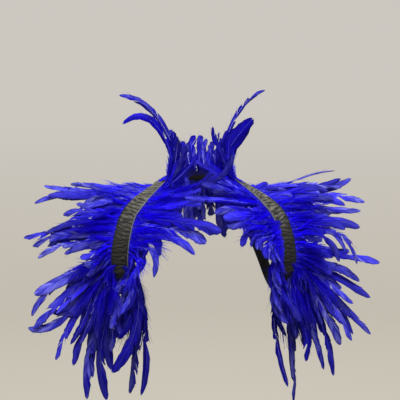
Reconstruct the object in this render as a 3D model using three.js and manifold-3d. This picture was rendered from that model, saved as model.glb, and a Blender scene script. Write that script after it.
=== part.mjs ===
// Feather cape: a ruched yoke that lies over both shoulders and round the nape, two plain underarm
// straps that hold it on, and rows of long dyed feathers sewn on tapes under the yoke's two edges.
// Millimetres. +X is the wearer's left, -Y the wearer's front, +Z up. The origin is on the neck's axis,
// level with the tops of the shoulders that the yoke rests on.

import * as THREE from "three";
import { mergeVertices } from "three/addons/utils/BufferGeometryUtils.js";
import Module from "manifold-3d";

const wasm = await Module();
wasm.setup();

// Sides of the wearer and edges of the yoke
const LEFT = 1;
const RIGHT = -1;
const OUTER = 1;
const INNER = -1;

// Driving dimensions. A level is a height over the yoke's middle surface, along its outward face, and the
// layers lie under one another: yoke, feather tapes, strap ends.
const BAND = {
  halfWidth: 14.6,
  scallop: 0.8,
  valley: 0.4,
  crest: 1.6,
  edge: -0.55,
  underside: -1.2,
  topShare: 0.72,
  underShare: 0.3,
  gatherPitch: 9,
};
const TAPE = { inset: 10.7, halfWidth: 4.5, halfThickness: 1, level: -2.6, sectionPitch: 12 };
const STRAP = { halfWidth: 10, halfThickness: 0.75, level: -4.75, sectionPitch: 14 };

// A feather's blade: how thick it is along the quill, how far its edges drop, where it is broadest, and
// its width at the root and the tip as a share of the full width, with the places of its sections.
const VANE = {
  halfThickness: 0.9,
  endHalfThickness: 0.5,
  edgeDrop: 0.5,
  broadest: 0.62,
  rootShare: 0.3,
  tipShare: 0.07,
};
const VANE_SECTIONS = [0, 0.28, 0.6, 0.87, 1];
// A feather's curve: the straight run of quill under the yoke's edge, how much it leaves square to that
// edge, and where and how hard the bend pulls on it.
// From station endStart on they leave it less squarely, so that the last ones hang straight down.
const CURVE = { quillRun: 6, squareShare: 0.8, leastSquare: 0.5, endStart: 7.6, bendPlace: 0.66, bendPull: 1.6 };
// A feather that fills a gap of more stations than this, shorter than its neighbours and behind them.
const FILL = { leastGap: 0.42, lengthShare: 0.62, behind: 6 };

// Material colours
const ROYAL_BLUE = 0x1a08e0;
const RUCHED_BLACK = 0x25241f;
const ELASTIC_BLACK = 0x161616;

// Names the columns of a table's rows.
function table(columns, rows) {
  const names = columns.split(" ");
  return rows.map((row) => Object.fromEntries(names.map((name, i) => [name, row[i]])));
}

// The yoke's middle line over the wearer's left half, from the nape to the front end by the armpit,
// with the way that its outer face looks. The right half is its mirror image.
const YOKE = table("out fore up faceOut faceFore faceUp", [
  [0, -82, 14, 0, -0.8, 0.6],
  [45, -70, 13, 0.2, -0.62, 0.76],
  [72, -36, 7, 0.33, -0.25, 0.91],
  [81, 4, 0, 0.36, 0.15, 0.92],
  [114, 44, -28, 0.36, 0.6, 0.71],
  [139, 62, -60, 0.34, 0.84, 0.42],
  [150, 71, -99, 0.28, 0.94, 0.2],
  [154, 70, -131, 0.2, 0.97, 0.08],
  [154, 62, -165, 0.15, 0.97, -0.18],
]);
const STATIONS = YOKE.length - 1;

// The free stretch of an underarm strap, from under the yoke's front end, round the arm, up the back.
const UNDERARM = table("out fore up faceOut faceFore faceUp", [
  [153, 46, -190, 0.1, 0.75, -0.65],
  [152, 16, -206, 0.05, 0.25, -0.97],
  [149, -22, -205, 0.05, -0.25, -0.97],
  [143, -57, -186, 0.1, -0.75, -0.65],
  [132, -82, -146, 0.15, -0.97, -0.2],
  [114, -92, -98, 0.15, -0.98, 0.12],
  [92, -87, -50, 0.15, -0.93, 0.32],
]);
const UNDERARM_FRONT_STATIONS = [7.6, 7.95];
const UNDERARM_BACK_STATION = 1.55;
const UNDERARM_BACK = table("across level", [
  [36, -14],
  [18, -7.3],
  [4, -5.9],
]);

// Main feathers, one a row: the yoke station of the root, the tip, how far the middle bends from the
// straight line to the tip, and the width. One shorter feather fills a wide gap between two rows.
// A tip with a negative out crosses to the other side of the chest.
const FEATHER_COLUMNS = "station out fore up bendOut bendUp width";

const SHOULDER_RIGHT = table(FEATHER_COLUMNS, [
  [2.95, 228, -48, -30, 0, 4, 13],
  [3.3, 247, -25, -2, 0, 0, 12],
  [3.5, 292, -8, 0, 0, -10, 12],
  [3.65, 311, 10, -38, 0, 20, 15],
  [3.95, 283, 20, -34, 0, 10, 15],
  [4.4, 232, 36, -44, 0, 4, 15],
  [4.8, 256, 45, -56, 0, 0, 15],
  [5.1, 258, 48, -76, 0, 8, 16],
  [5.35, 286, 52, -92, 0, 14, 11],
  [5.65, 325, 50, -102, 0, 6, 13],
  [5.9, 307, 62, -118, 0, 16, 15],
  [6.2, 300, 65, -134, 0, 12, 13],
  [6.5, 222, 68, -140, 0, 2, 15],
  [6.8, 215, 70, -152, 0, 2, 15],
  [7.05, 212, 72, -168, 0, 2, 15],
  [7.3, 304, 75, -200, 0, 4, 20],
  [7.45, 307, 78, -238, 14, 24, 12],
  [7.55, 307, 80, -255, 0, 4, 15],
  [7.68, 316, 80, -263, -10, -30, 16],
  [7.75, 262, 82, -316, 8, 10, 12],
  [7.8, 237, 86, -288, 2, 4, 13],
  [7.85, 237, 85, -324, 4, 6, 14],
  [7.89, 212, 88, -384, 10, 6, 14],
  [7.92, 188, 84, -388, 8, 0, 16],
  [7.95, 168, 94, -300, 4, 0, 16],
  [7.98, 156, 96, -270, 4, 0, 15],
]);

const SHOULDER_LEFT = table(FEATHER_COLUMNS, [
  [2.95, 232, -48, -30, 0, 4, 13],
  [3.2, 267, -20, 26, 0, 6, 4],
  [3.35, 277, -10, -11, 0, 16, 14],
  [3.65, 304, -20, 3, 0, -12, 15],
  [3.9, 312, 25, -38, 0, 16, 15],
  [4.3, 250, 32, -34, 0, 8, 15],
  [4.7, 301, 35, -51, 0, -2, 14],
  [5.1, 240, 45, -72, 0, 6, 15],
  [5.35, 295, 50, -85, 0, 12, 18],
  [5.75, 283, 78, -150, 14, 45, 11],
  [6.1, 218, 66, -108, 0, 4, 14],
  [6.4, 212, 67, -124, 0, 2, 14],
  [6.75, 329, 62, -148, 0, 2, 17],
  [7.1, 288, 70, -182, 0, 8, 17],
  [7.4, 309, 72, -210, 0, 2, 15],
  [7.62, 304, 70, -286, 2, 12, 15],
  [7.7, 271, 78, -291, 5, 8, 15],
  [7.77, 245, 82, -299, 8, 8, 20],
  [7.83, 235, 85, -353, 8, 5, 15],
  [7.88, 213, 82, -343, 5, 0, 13],
  [7.92, 188, 88, -325, 3, 0, 14],
  [7.95, 166, 64, -405, -4, 0, 11],
  [7.98, 156, 96, -276, 4, 0, 15],
]);

const CHEST_RIGHT = table(FEATHER_COLUMNS, [
  [3.35, 31, 66, 63, 0, -5, 11],
  [3.45, 10, 70, 54, 0, -6, 10],
  [3.6, -38, 82, 48, -34, -22, 14],
  [4.0, 8, 86, -20, 0, 4, 9],
  [4.4, 9, 88, -42, 0, 5, 12],
  [4.9, -24, 103, -93, 0, 10, 26],
  [5.3, -1, 94, -107, 0, 10, 22],
  [5.8, 20, 94, -130, 4, 26, 15],
  [6.3, 99, 96, -168, -24, 30, 13],
  [7.0, 152, 100, -234, -12, 5, 9],
  [7.5, 166, 94, -338, -24, 0, 20],
  [7.7, 116, 62, -386, -14, 0, 13],
  [7.8, 142, 60, -380, -16, 0, 14],
  [7.96, 166, 104, -258, 0, 0, 15],
]);

const CHEST_LEFT = table(FEATHER_COLUMNS, [
  [3.35, -22, 52, 42, 0, 0, 9],
  [3.9, -8, 92, -7, 0, 8, 13],
  [4.2, -40, 90, -25, 0, 0, 10],
  [4.55, 15, 97, -58, 0, 8, 17],
  [4.8, 30, 99, -66, 0, 4, 22],
  [5.1, 36, 96, -80, 0, 6, 22],
  [5.5, 62, 96, -116, -10, 12, 14],
  [6.0, 107, 96, -138, -10, 10, 12],
  [6.4, 126, 94, -146, -5, 8, 12],
  [7.0, 137, 94, -231, -10, 0, 14],
  [7.5, 144, 92, -258, -10, 0, 16],
  [7.8, 152, 82, -372, -10, 0, 13],
  [7.96, 168, 104, -250, 0, 0, 15],
]);

const COLLAR_RIGHT = table(FEATHER_COLUMNS, [
  [0.3, 9, -84, 98, 0, 0, 15],
  [0.62, 30, -86, 86, 0, 0, 13],
  [0.95, 46, -80, 104, 0, 0, 15],
  [1.28, 54, -72, 90, 0, 0, 13],
  [1.6, 56, -56, 106, 0, 0, 14],
  [1.92, 53, -38, 96, 0, 0, 15],
  [2.2, 155, -10, 169, -29, 31, 12],
  [2.48, 51, -4, 98, 0, 0, 15],
  [2.75, 146, 15, 107, -19, 65, 14],
  [2.92, 47, 22, 86, 0, 4, 13],
  [3.08, 45, 38, 78, 0, 6, 12],
]);

const COLLAR_LEFT = table(FEATHER_COLUMNS, [
  [0.3, 9, -84, 98, 0, 0, 15],
  [0.62, 30, -86, 86, 0, 0, 13],
  [0.95, 46, -80, 104, 0, 0, 15],
  [1.28, 54, -72, 90, 0, 0, 13],
  [1.6, 56, -56, 106, 0, 0, 14],
  [1.92, 53, -38, 96, 0, 0, 15],
  [2.2, 127, -10, 177, -30, 24, 9],
  [2.48, 68, 0, 104, -18, -4, 18],
  [2.75, 94, 10, 127, -24, -14, 32],
  [2.92, 47, 22, 88, 0, 4, 13],
  [3.08, 15, 45, 101, -4, 12, 14],
]);

const BACK = table(FEATHER_COLUMNS, [
  [0.25, 12, -126, -96, 0, 0, 16],
  [0.85, 62, -133, -110, 0, 0, 16],
  [1.45, 122, -130, -124, 0, 6, 16],
  [2.0, 188, -112, -105, 0, 12, 16],
  [2.5, 240, -75, -52, 0, 15, 16],
]);

// The sewn rows: which side and edge of the yoke they are on, the stations that the tape runs between,
// how far the feathers run on straight from the edge as a share of their length, and the ways that their
// faces look at the tape's start and, two stations on, for the rest of it.
const NAPE_FACE = [0, -0.95, 0.3];
const COLLAR_FACE = [0.4, 0.85, 0.3];
const BACK_FACE = [0.1, -0.9, 0.4];
const TOP_FACE = [0.1, 0.75, 0.65];
const FRONT_FACE = [0.25, 0.9, 0.3];
const FACE_CHANGE = 2;
const ROWS = table("name side edge start end spring firstFace face feathers", [
  ["shoulder_feathers_right", RIGHT, OUTER, 2.72, 8, 0.28, TOP_FACE, FRONT_FACE, SHOULDER_RIGHT],
  ["shoulder_feathers_left", LEFT, OUTER, 2.72, 8, 0.28, TOP_FACE, FRONT_FACE, SHOULDER_LEFT],
  ["back_feathers_right", RIGHT, OUTER, 0.02, 2.68, 0.28, BACK_FACE, TOP_FACE, BACK],
  ["back_feathers_left", LEFT, OUTER, 0.02, 2.68, 0.28, BACK_FACE, TOP_FACE, BACK],
  ["chest_feathers_right", RIGHT, INNER, 3.22, 8, 0.28, FRONT_FACE, FRONT_FACE, CHEST_RIGHT],
  ["chest_feathers_left", LEFT, INNER, 3.22, 8, 0.28, FRONT_FACE, FRONT_FACE, CHEST_LEFT],
  ["collar_feathers_right", RIGHT, INNER, 0.02, 3.18, 0.25, NAPE_FACE, COLLAR_FACE, COLLAR_RIGHT],
  ["collar_feathers_left", LEFT, INNER, 0.02, 3.18, 0.25, NAPE_FACE, COLLAR_FACE, COLLAR_LEFT],
]);

// Places and frames
const place = (out, fore, up, side = LEFT) => new THREE.Vector3(side * out, -fore, up);

// A smooth line through a half's points and their mirror images.
function mirroredLine(half) {
  const other = half.slice(1).reverse();
  const points = [...other.map((v) => new THREE.Vector3(-v.x, v.y, v.z)), ...half];
  return new THREE.CatmullRomCurve3(points, false, "catmullrom", 0.5);
}

const yokeLine = mirroredLine(YOKE.map((row) => place(row.out, row.fore, row.up)));
const yokeFaces = mirroredLine(YOKE.map((row) => place(row.faceOut, row.faceFore, row.faceUp)));

// A frame on a line: the point, the way along, the face's way out, and across, which is face x along.
function frameOf(point, along, face) {
  const outward = face.clone().addScaledVector(along, -face.dot(along)).normalize();
  return { point, along, face: outward, across: new THREE.Vector3().crossVectors(outward, along) };
}

// The yoke's frame at a station: 0 is the nape, positive the wearer's left. Across points to its outer edge.
function yokeFrame(station) {
  const t = (station + STATIONS) / (2 * STATIONS);
  return frameOf(yokeLine.getPoint(t), yokeLine.getTangent(t), yokeFaces.getPoint(t));
}

const atOffset = (frame, across, level) =>
  frame.point.clone().addScaledVector(frame.across, across).addScaledVector(frame.face, level);

// Closed solids lofted through rings of points, each given as [across, level] pairs in a frame,
// anticlockwise as seen from the front of the loft. The upper half of a ring comes first, and the two
// halves split their quads along matching diagonals, so that a twisted wall keeps its thickness.
function loft(frames, ringOf) {
  const rings = frames.map((frame, i) => ringOf(i).map((pair) => atOffset(frame, ...pair)));
  const count = rings[0].length;
  const last = (rings.length - 1) * count;
  const index = [];
  for (let i = 0; i < last; i += count)
    for (let j = 0; j < count; j++) {
      const next = (j + 1) % count;
      const [a, b, c, d] = [i + j, i + next, i + count + next, i + count + j];
      if (2 * j < count) index.push(a, b, c, a, c, d);
      else index.push(a, b, d, b, c, d);
    }
  for (let j = 2; j < count; j++) {
    const after = (j + 1) % count;
    index.push(1, after, j, last + 1, last + j, last + after);
  }
  const geometry = new THREE.BufferGeometry().setFromPoints(rings.flat());
  geometry.setIndex(index);
  return geometry;
}

const rectangle = (middle, halfWidth, level, halfThickness) => [
  [middle + halfWidth, level - halfThickness],
  [middle + halfWidth, level + halfThickness],
  [middle - halfWidth, level + halfThickness],
  [middle - halfWidth, level - halfThickness],
];

// Joins closed geometries into one solid.
function joined(geometries) {
  const solids = geometries.map((geometry) => {
    const merged = mergeVertices(geometry, 1e-4);
    const triVerts = new Uint32Array(merged.index.array);
    const vertProperties = merged.attributes.position.array;
    return new wasm.Manifold(new wasm.Mesh({ numProp: 3, vertProperties, triVerts }));
  });
  const mesh = solids.reduce((whole, next) => whole.add(next)).getMesh();
  const geometry = new THREE.BufferGeometry();
  geometry.setAttribute("position", new THREE.BufferAttribute(mesh.vertProperties, mesh.numProp));
  geometry.setIndex(new THREE.BufferAttribute(mesh.triVerts, 1));
  return geometry;
}

// The ruched yoke: crests and valleys of the gathers follow each other along it, and its edges
// scallop with them.
function yokeBand() {
  const gathers = Math.round(yokeLine.getLength() / BAND.gatherPitch);
  const frames = [];
  for (let i = 0; i <= 2 * gathers; i++) {
    const t = yokeLine.getUtoTmapping(i / (2 * gathers));
    frames.push(yokeFrame(STATIONS * (2 * t - 1)));
  }
  return loft(frames, (i) => {
    const crest = i % 2 === 1;
    const half = BAND.halfWidth + (crest ? BAND.scallop : 0);
    const top = crest ? BAND.crest : BAND.valley;
    return [
      [half, BAND.edge],
      [half * BAND.topShare, top],
      [-half * BAND.topShare, top],
      [-half, BAND.edge],
      [-half * BAND.underShare, BAND.underside],
      [half * BAND.underShare, BAND.underside],
    ];
  });
}

// A plain strap from under the yoke's front end, round the arm and up to the yoke behind the shoulder.
function underarmStrap(side) {
  const points = [];
  const faces = [];
  const add = (point, face) => {
    points.push(point);
    faces.push(face);
  };
  for (const station of UNDERARM_FRONT_STATIONS) {
    const frame = yokeFrame(side * station);
    add(atOffset(frame, 0, STRAP.level), frame.face);
  }
  for (const row of UNDERARM)
    add(place(row.out, row.fore, row.up, side), place(row.faceOut, row.faceFore, row.faceUp, side));
  const back = yokeFrame(side * UNDERARM_BACK_STATION);
  for (const row of UNDERARM_BACK) add(atOffset(back, row.across, row.level), back.face);
  const line = new THREE.CatmullRomCurve3(points, false, "catmullrom", 0.5);
  const faceLine = new THREE.CatmullRomCurve3(faces, false, "catmullrom", 0.5);
  const steps = Math.round(line.getLength() / STRAP.sectionPitch);
  const frames = [];
  for (let i = 0; i <= steps; i++) {
    const t = line.getUtoTmapping(i / steps);
    frames.push(frameOf(line.getPoint(t), line.getTangent(t), faceLine.getPoint(t)));
  }
  return loft(frames, () => rectangle(0, STRAP.halfWidth, 0, STRAP.halfThickness));
}

// The tape that a row of feathers is sewn to, under one edge of the yoke.
function tape({ side, edge, start, end }) {
  const [first, last] = [side * start, side * end].sort((a, b) => a - b);
  const length = (yokeLine.getLength() * (end - start)) / (2 * STATIONS);
  const steps = Math.round(length / TAPE.sectionPitch);
  const frames = [];
  for (let i = 0; i <= steps; i++) frames.push(yokeFrame(first + ((last - first) * i) / steps));
  return loft(frames, () => rectangle(edge * TAPE.inset, TAPE.halfWidth, TAPE.level, TAPE.halfThickness));
}

// The vane's width along the feather as a share of the full width: narrow quill, broad blade, rounded tip.
function vaneShare(s) {
  const rise = THREE.MathUtils.smoothstep(s, 0, VANE.broadest);
  const fall = Math.max(0, (s - VANE.broadest) / (1 - VANE.broadest));
  return Math.max(VANE.tipShare, (VANE.rootShare + (1 - VANE.rootShare) * rise) * Math.sqrt(1 - fall ** 3));
}

// The way that a row's feathers look at a station.
function faceAt({ side, start, firstFace, face }, station) {
  const share = THREE.MathUtils.smoothstep(station, start, start + FACE_CHANGE);
  return place(...firstFace, side).lerp(place(...face, side), share);
}

// One feather: a thin blade, thickest along its quill. The quill runs straight out from the tape past
// the yoke's edge, and a curve then bends to the tip.
function feather(sewn, row) {
  const { side, edge, spring } = sewn;
  const frame = yokeFrame(side * row.station);
  const root = atOffset(frame, edge * TAPE.inset, TAPE.level);
  const tip = place(row.out, row.fore, row.up, side);
  const away = frame.across.clone().multiplyScalar(edge);
  const square = CURVE.squareShare * (1 - THREE.MathUtils.smoothstep(row.station, CURVE.endStart, STATIONS));
  const leave = tip.clone().sub(root).normalize().addScaledVector(away, square);
  leave.addScaledVector(frame.face, -leave.dot(frame.face)).normalize();
  const run = CURVE.quillRun / Math.max(leave.dot(away), CURVE.leastSquare);
  const exit = root.clone().addScaledVector(leave, run);
  const chord = tip.clone().sub(exit);
  const bend = place(row.bendOut, 0, row.bendUp, side);
  const line = new THREE.CubicBezierCurve3(
    exit,
    exit.clone().addScaledVector(leave, spring * chord.length()),
    exit.clone().addScaledVector(chord, CURVE.bendPlace).addScaledVector(bend, CURVE.bendPull),
    tip,
  );
  const bladeFace = faceAt(sewn, row.station);
  const frames = VANE_SECTIONS.map((s) => {
    const looks = frame.face.clone().lerp(bladeFace, THREE.MathUtils.smoothstep(s, 0, 0.4));
    return frameOf(line.getPoint(s), line.getTangent(s), looks);
  });
  frames.unshift(frameOf(root, leave, frame.face));
  return loft(frames, (i) => {
    const s = i === 0 ? 0 : VANE_SECTIONS[i - 1];
    const half = 0.5 * row.width * vaneShare(s);
    const atEnd = s === 0 || s === 1;
    const thick = atEnd ? VANE.endHalfThickness : VANE.halfThickness;
    const drop = atEnd ? 0 : VANE.edgeDrop;
    return [
      [half, -drop],
      [0, thick],
      [-half, -drop],
      [0, -thick],
    ];
  });
}

// The feather between two main ones: halfway in every column, shorter, and a little behind them.
function between(a, b, sewn) {
  const { side, edge } = sewn;
  const row = Object.fromEntries(Object.keys(a).map((name) => [name, (a[name] + b[name]) / 2]));
  const root = atOffset(yokeFrame(side * row.station), edge * TAPE.inset, TAPE.level);
  const tip = place(row.out, row.fore, row.up, side).lerp(root, 1 - FILL.lengthShare);
  tip.addScaledVector(faceAt(sewn, row.station), -FILL.behind);
  return { ...row, out: side * tip.x, fore: -tip.y, up: tip.z };
}

// A sewn row: its tape with the main feathers and the shorter ones between them, as one solid.
function featherRow(sewn) {
  const fills = [];
  sewn.feathers.slice(1).forEach((next, i) => {
    const previous = sewn.feathers[i];
    if (next.station - previous.station > FILL.leastGap) fills.push(between(previous, next, sewn));
  });
  return joined([tape(sewn), ...[...sewn.feathers, ...fills].map((row) => feather(sewn, row))]);
}

// Assembly
const cape = new THREE.Group();

function addPiece(name, geometry, color, roughness) {
  const material = new THREE.MeshStandardMaterial({ color, roughness, metalness: 0 });
  const mesh = new THREE.Mesh(geometry, material);
  mesh.name = name;
  cape.add(mesh);
}

addPiece("yoke_band", yokeBand(), RUCHED_BLACK, 0.85);
addPiece("underarm_strap_right", underarmStrap(RIGHT), ELASTIC_BLACK, 0.8);
addPiece("underarm_strap_left", underarmStrap(LEFT), ELASTIC_BLACK, 0.8);
for (const sewn of ROWS) addPiece(sewn.name, featherRow(sewn), ROYAL_BLUE, 0.5);

export default cape;
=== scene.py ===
"""Feather cape: the looks of a shoulder cape of dyed rooster feathers on a ruched yoke.

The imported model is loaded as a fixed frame, and each of its plain solids is replaced by a finished piece:
the gathered yoke, two elastic underarm straps and eight sewn rows of feathers. Sizes are in millimetres until
a mesh is made, which is in metres. +X is the wearer's left, -Y the wearer's front and +Z up.
"""

import logging
import math
from dataclasses import dataclass, field, replace
from enum import Enum
from typing import Any

import bpy
import numpy as np
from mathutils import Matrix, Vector


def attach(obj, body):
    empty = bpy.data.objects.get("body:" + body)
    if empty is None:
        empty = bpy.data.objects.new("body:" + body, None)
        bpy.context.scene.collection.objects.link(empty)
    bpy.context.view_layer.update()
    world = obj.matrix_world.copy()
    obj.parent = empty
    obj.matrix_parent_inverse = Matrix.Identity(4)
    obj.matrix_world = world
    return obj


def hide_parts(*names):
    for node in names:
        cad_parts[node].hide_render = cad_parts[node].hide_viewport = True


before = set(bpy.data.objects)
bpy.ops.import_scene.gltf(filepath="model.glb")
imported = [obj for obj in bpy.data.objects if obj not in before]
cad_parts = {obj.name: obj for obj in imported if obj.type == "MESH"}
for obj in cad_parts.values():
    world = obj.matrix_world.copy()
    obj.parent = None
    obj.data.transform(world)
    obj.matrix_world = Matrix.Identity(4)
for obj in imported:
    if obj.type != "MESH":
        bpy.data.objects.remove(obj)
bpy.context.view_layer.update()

LOG = logging.getLogger("feather_cape")
MM = 0.001
BODY = "root"
# The map that the textures are drawn on, one upright strip a feather, and the map of a cloth's threads
UV_MAP = "OFBake"
THREAD_MAP = "Threads"
# The named values at the points of cloth and of feathers
CLOTH_VALUES = ("crest", "hem_highlight")
FEATHER_VALUES = ("along", "tone", "strand", "quill")


class Side(Enum):
    """The wearer's two sides."""

    RIGHT = -1
    LEFT = 1


class Edge(Enum):
    """The yoke's two edges: the inner one lies towards the neck and chest."""

    INNER = -1
    OUTER = 1


def table(columns: str, rows: list[tuple[float, ...]]) -> np.ndarray:
    """Names the columns of a table.

    Args:
        columns: The names, with spaces between them.
        rows: One tuple of numbers a row.

    Returns:
        A structured array, one entry a row.
    """
    return np.array(rows, dtype=[(name, float) for name in columns.split()])


# The yoke's middle line over the wearer's left half, from the nape to the front end by the armpit, with the
# way that its outer face looks. The right half is its mirror image.
LINE_COLUMNS = "out fore up face_out face_fore face_up"
YOKE_LINE = table(
    LINE_COLUMNS,
    [
        (0, -82, 14, 0, -0.8, 0.6),
        (45, -70, 13, 0.2, -0.62, 0.76),
        (72, -36, 7, 0.33, -0.25, 0.91),
        (81, 4, 0, 0.36, 0.15, 0.92),
        (114, 44, -28, 0.36, 0.6, 0.71),
        (139, 62, -60, 0.34, 0.84, 0.42),
        (150, 71, -99, 0.28, 0.94, 0.2),
        (154, 70, -131, 0.2, 0.97, 0.08),
        (154, 62, -165, 0.15, 0.97, -0.18),
    ],
)
# The free stretch of an underarm strap, from under the yoke's front end, round the arm, up the back
UNDERARM_LINE = table(
    LINE_COLUMNS,
    [
        (153, 46, -190, 0.1, 0.75, -0.65),
        (152, 16, -206, 0.05, 0.25, -0.97),
        (149, -22, -205, 0.05, -0.25, -0.97),
        (143, -57, -186, 0.1, -0.75, -0.65),
        (132, -82, -146, 0.15, -0.97, -0.2),
        (114, -92, -98, 0.15, -0.98, 0.12),
        (92, -87, -50, 0.15, -0.93, 0.32),
    ],
)
# Its two ends under the yoke
UNDERARM_FRONT_STATIONS = np.array([7.6, 7.95])
UNDERARM_BACK_STATION = 1.55
UNDERARM_BACK = table("across level", [(36, -14), (18, -7.3), (4, -5.9)])

# Main feathers, one a row: the yoke station of the root, the tip, how far the middle bends from the straight
# line to the tip, and the width. A tip with a negative out crosses to the other side of the chest.
FEATHER_COLUMNS = "station out fore up bend_out bend_up width"
SHOULDER_RIGHT = table(
    FEATHER_COLUMNS,
    [
        (2.95, 228, -48, -30, 0, 4, 13),
        (3.3, 247, -25, -2, 0, 0, 12),
        (3.5, 292, -8, 0, 0, -10, 12),
        (3.65, 311, 10, -38, 0, 20, 15),
        (3.95, 283, 20, -34, 0, 10, 15),
        (4.4, 232, 36, -44, 0, 4, 15),
        (4.8, 256, 45, -56, 0, 0, 15),
        (5.1, 258, 48, -76, 0, 8, 16),
        (5.35, 286, 52, -92, 0, 14, 11),
        (5.65, 325, 50, -102, 0, 6, 13),
        (5.9, 307, 62, -118, 0, 16, 15),
        (6.2, 300, 65, -134, 0, 12, 13),
        (6.5, 222, 68, -140, 0, 2, 15),
        (6.8, 215, 70, -152, 0, 2, 15),
        (7.05, 212, 72, -168, 0, 2, 15),
        (7.3, 304, 75, -200, 0, 4, 20),
        (7.45, 307, 78, -238, 14, 24, 12),
        (7.55, 307, 80, -255, 0, 4, 15),
        (7.68, 316, 80, -263, -10, -30, 16),
        (7.75, 262, 82, -316, 8, 10, 12),
        (7.8, 237, 86, -288, 2, 4, 13),
        (7.85, 237, 85, -324, 4, 6, 14),
        (7.89, 212, 88, -384, 10, 6, 14),
        (7.92, 188, 84, -388, 8, 0, 16),
        (7.95, 168, 94, -300, 4, 0, 16),
        (7.98, 156, 96, -270, 4, 0, 15),
    ],
)
SHOULDER_LEFT = table(
    FEATHER_COLUMNS,
    [
        (2.95, 232, -48, -30, 0, 4, 13),
        (3.2, 267, -20, 26, 0, 6, 4),
        (3.35, 277, -10, -11, 0, 16, 14),
        (3.65, 304, -20, 3, 0, -12, 15),
        (3.9, 312, 25, -38, 0, 16, 15),
        (4.3, 250, 32, -34, 0, 8, 15),
        (4.7, 301, 35, -51, 0, -2, 14),
        (5.1, 240, 45, -72, 0, 6, 15),
        (5.35, 295, 50, -85, 0, 12, 18),
        (5.75, 283, 78, -150, 14, 45, 11),
        (6.1, 218, 66, -108, 0, 4, 14),
        (6.4, 212, 67, -124, 0, 2, 14),
        (6.75, 329, 62, -148, 0, 2, 17),
        (7.1, 288, 70, -182, 0, 8, 17),
        (7.4, 309, 72, -210, 0, 2, 15),
        (7.62, 304, 70, -286, 2, 12, 15),
        (7.7, 271, 78, -291, 5, 8, 15),
        (7.77, 245, 82, -299, 8, 8, 20),
        (7.83, 235, 85, -353, 8, 5, 15),
        (7.88, 213, 82, -343, 5, 0, 13),
        (7.92, 188, 88, -325, 3, 0, 14),
        (7.95, 166, 64, -405, -4, 0, 11),
        (7.98, 156, 96, -276, 4, 0, 15),
    ],
)
CHEST_RIGHT = table(
    FEATHER_COLUMNS,
    [
        (3.35, 31, 66, 63, 0, -5, 11),
        (3.45, 10, 70, 54, 0, -6, 10),
        (3.6, -38, 82, 48, -34, -22, 14),
        (4.0, 8, 86, -20, 0, 4, 9),
        (4.4, 9, 88, -42, 0, 5, 12),
        (4.9, -24, 103, -93, 0, 10, 26),
        (5.3, -1, 94, -107, 0, 10, 22),
        (5.8, 20, 94, -130, 4, 26, 15),
        (6.3, 99, 96, -168, -24, 30, 13),
        (7.0, 152, 100, -234, -12, 5, 9),
        (7.5, 166, 94, -338, -24, 0, 20),
        (7.7, 116, 62, -386, -14, 0, 13),
        (7.8, 142, 60, -380, -16, 0, 14),
        (7.96, 166, 104, -258, 0, 0, 15),
    ],
)
CHEST_LEFT = table(
    FEATHER_COLUMNS,
    [
        (3.35, -22, 52, 42, 0, 0, 9),
        (3.9, -8, 92, -7, 0, 8, 13),
        (4.2, -40, 90, -25, 0, 0, 10),
        (4.55, 15, 97, -58, 0, 8, 17),
        (4.8, 30, 99, -66, 0, 4, 22),
        (5.1, 36, 96, -80, 0, 6, 22),
        (5.5, 62, 96, -116, -10, 12, 14),
        (6.0, 107, 96, -138, -10, 10, 12),
        (6.4, 126, 94, -146, -5, 8, 12),
        (7.0, 137, 94, -231, -10, 0, 14),
        (7.5, 144, 92, -258, -10, 0, 16),
        (7.8, 152, 82, -372, -10, 0, 13),
        (7.96, 168, 104, -250, 0, 0, 15),
    ],
)
# The collar's feathers round the nape, the same on both sides
NAPE_FEATHERS = [
    (0.3, 9, -84, 98, 0, 0, 15),
    (0.62, 30, -86, 86, 0, 0, 13),
    (0.95, 46, -80, 104, 0, 0, 15),
    (1.28, 54, -72, 90, 0, 0, 13),
    (1.6, 56, -56, 106, 0, 0, 14),
    (1.92, 53, -38, 96, 0, 0, 15),
]
COLLAR_RIGHT = table(
    FEATHER_COLUMNS,
    [
        *NAPE_FEATHERS,
        (2.2, 155, -10, 169, -29, 31, 12),
        (2.48, 51, -4, 98, 0, 0, 15),
        (2.75, 146, 15, 107, -19, 65, 14),
        (2.92, 47, 22, 86, 0, 4, 13),
        (3.08, 45, 38, 78, 0, 6, 12),
    ],
)
COLLAR_LEFT = table(
    FEATHER_COLUMNS,
    [
        *NAPE_FEATHERS,
        (2.2, 127, -10, 177, -30, 24, 9),
        (2.48, 68, 0, 104, -18, -4, 18),
        (2.75, 94, 10, 127, -24, -14, 32),
        (2.92, 47, 22, 88, 0, 4, 13),
        (3.08, 15, 45, 101, -4, 12, 14),
    ],
)
# The upright tips that the collar's smaller feathers follow, beside the neck
COLLAR_TIPS = table(
    FEATHER_COLUMNS,
    [
        (0.05, 2, -86, 92, 0, 0, 13),
        (0.95, 46, -80, 95, 0, 0, 13),
        (1.6, 53, -55, 98, 0, 0, 13),
        (2.3, 48, -16, 94, 0, 0, 13),
        (2.75, 44, 10, 86, 0, 0, 13),
        (3.1, 38, 30, 74, 0, 0, 13),
    ],
)
BACK_FEATHERS = [
    (0.25, 12, -126, -96, 0, 0, 16),
    (0.85, 62, -133, -110, 0, 0, 16),
    (1.45, 122, -130, -124, 0, 6, 16),
    (2.0, 188, -112, -105, 0, 12, 16),
    (2.5, 240, -75, -52, 0, 15, 16),
]
BACK = table(FEATHER_COLUMNS, BACK_FEATHERS)
# The hanging tips that the smaller feathers of the back follow: the same, with both ends nearer the tape's
BACK_TIPS = table(
    FEATHER_COLUMNS,
    [(0.04, 2, -127, -92, 0, 0, 16), *BACK_FEATHERS[1:4], (2.64, 240, -66, -44, 0, 12, 16)],
)
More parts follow.
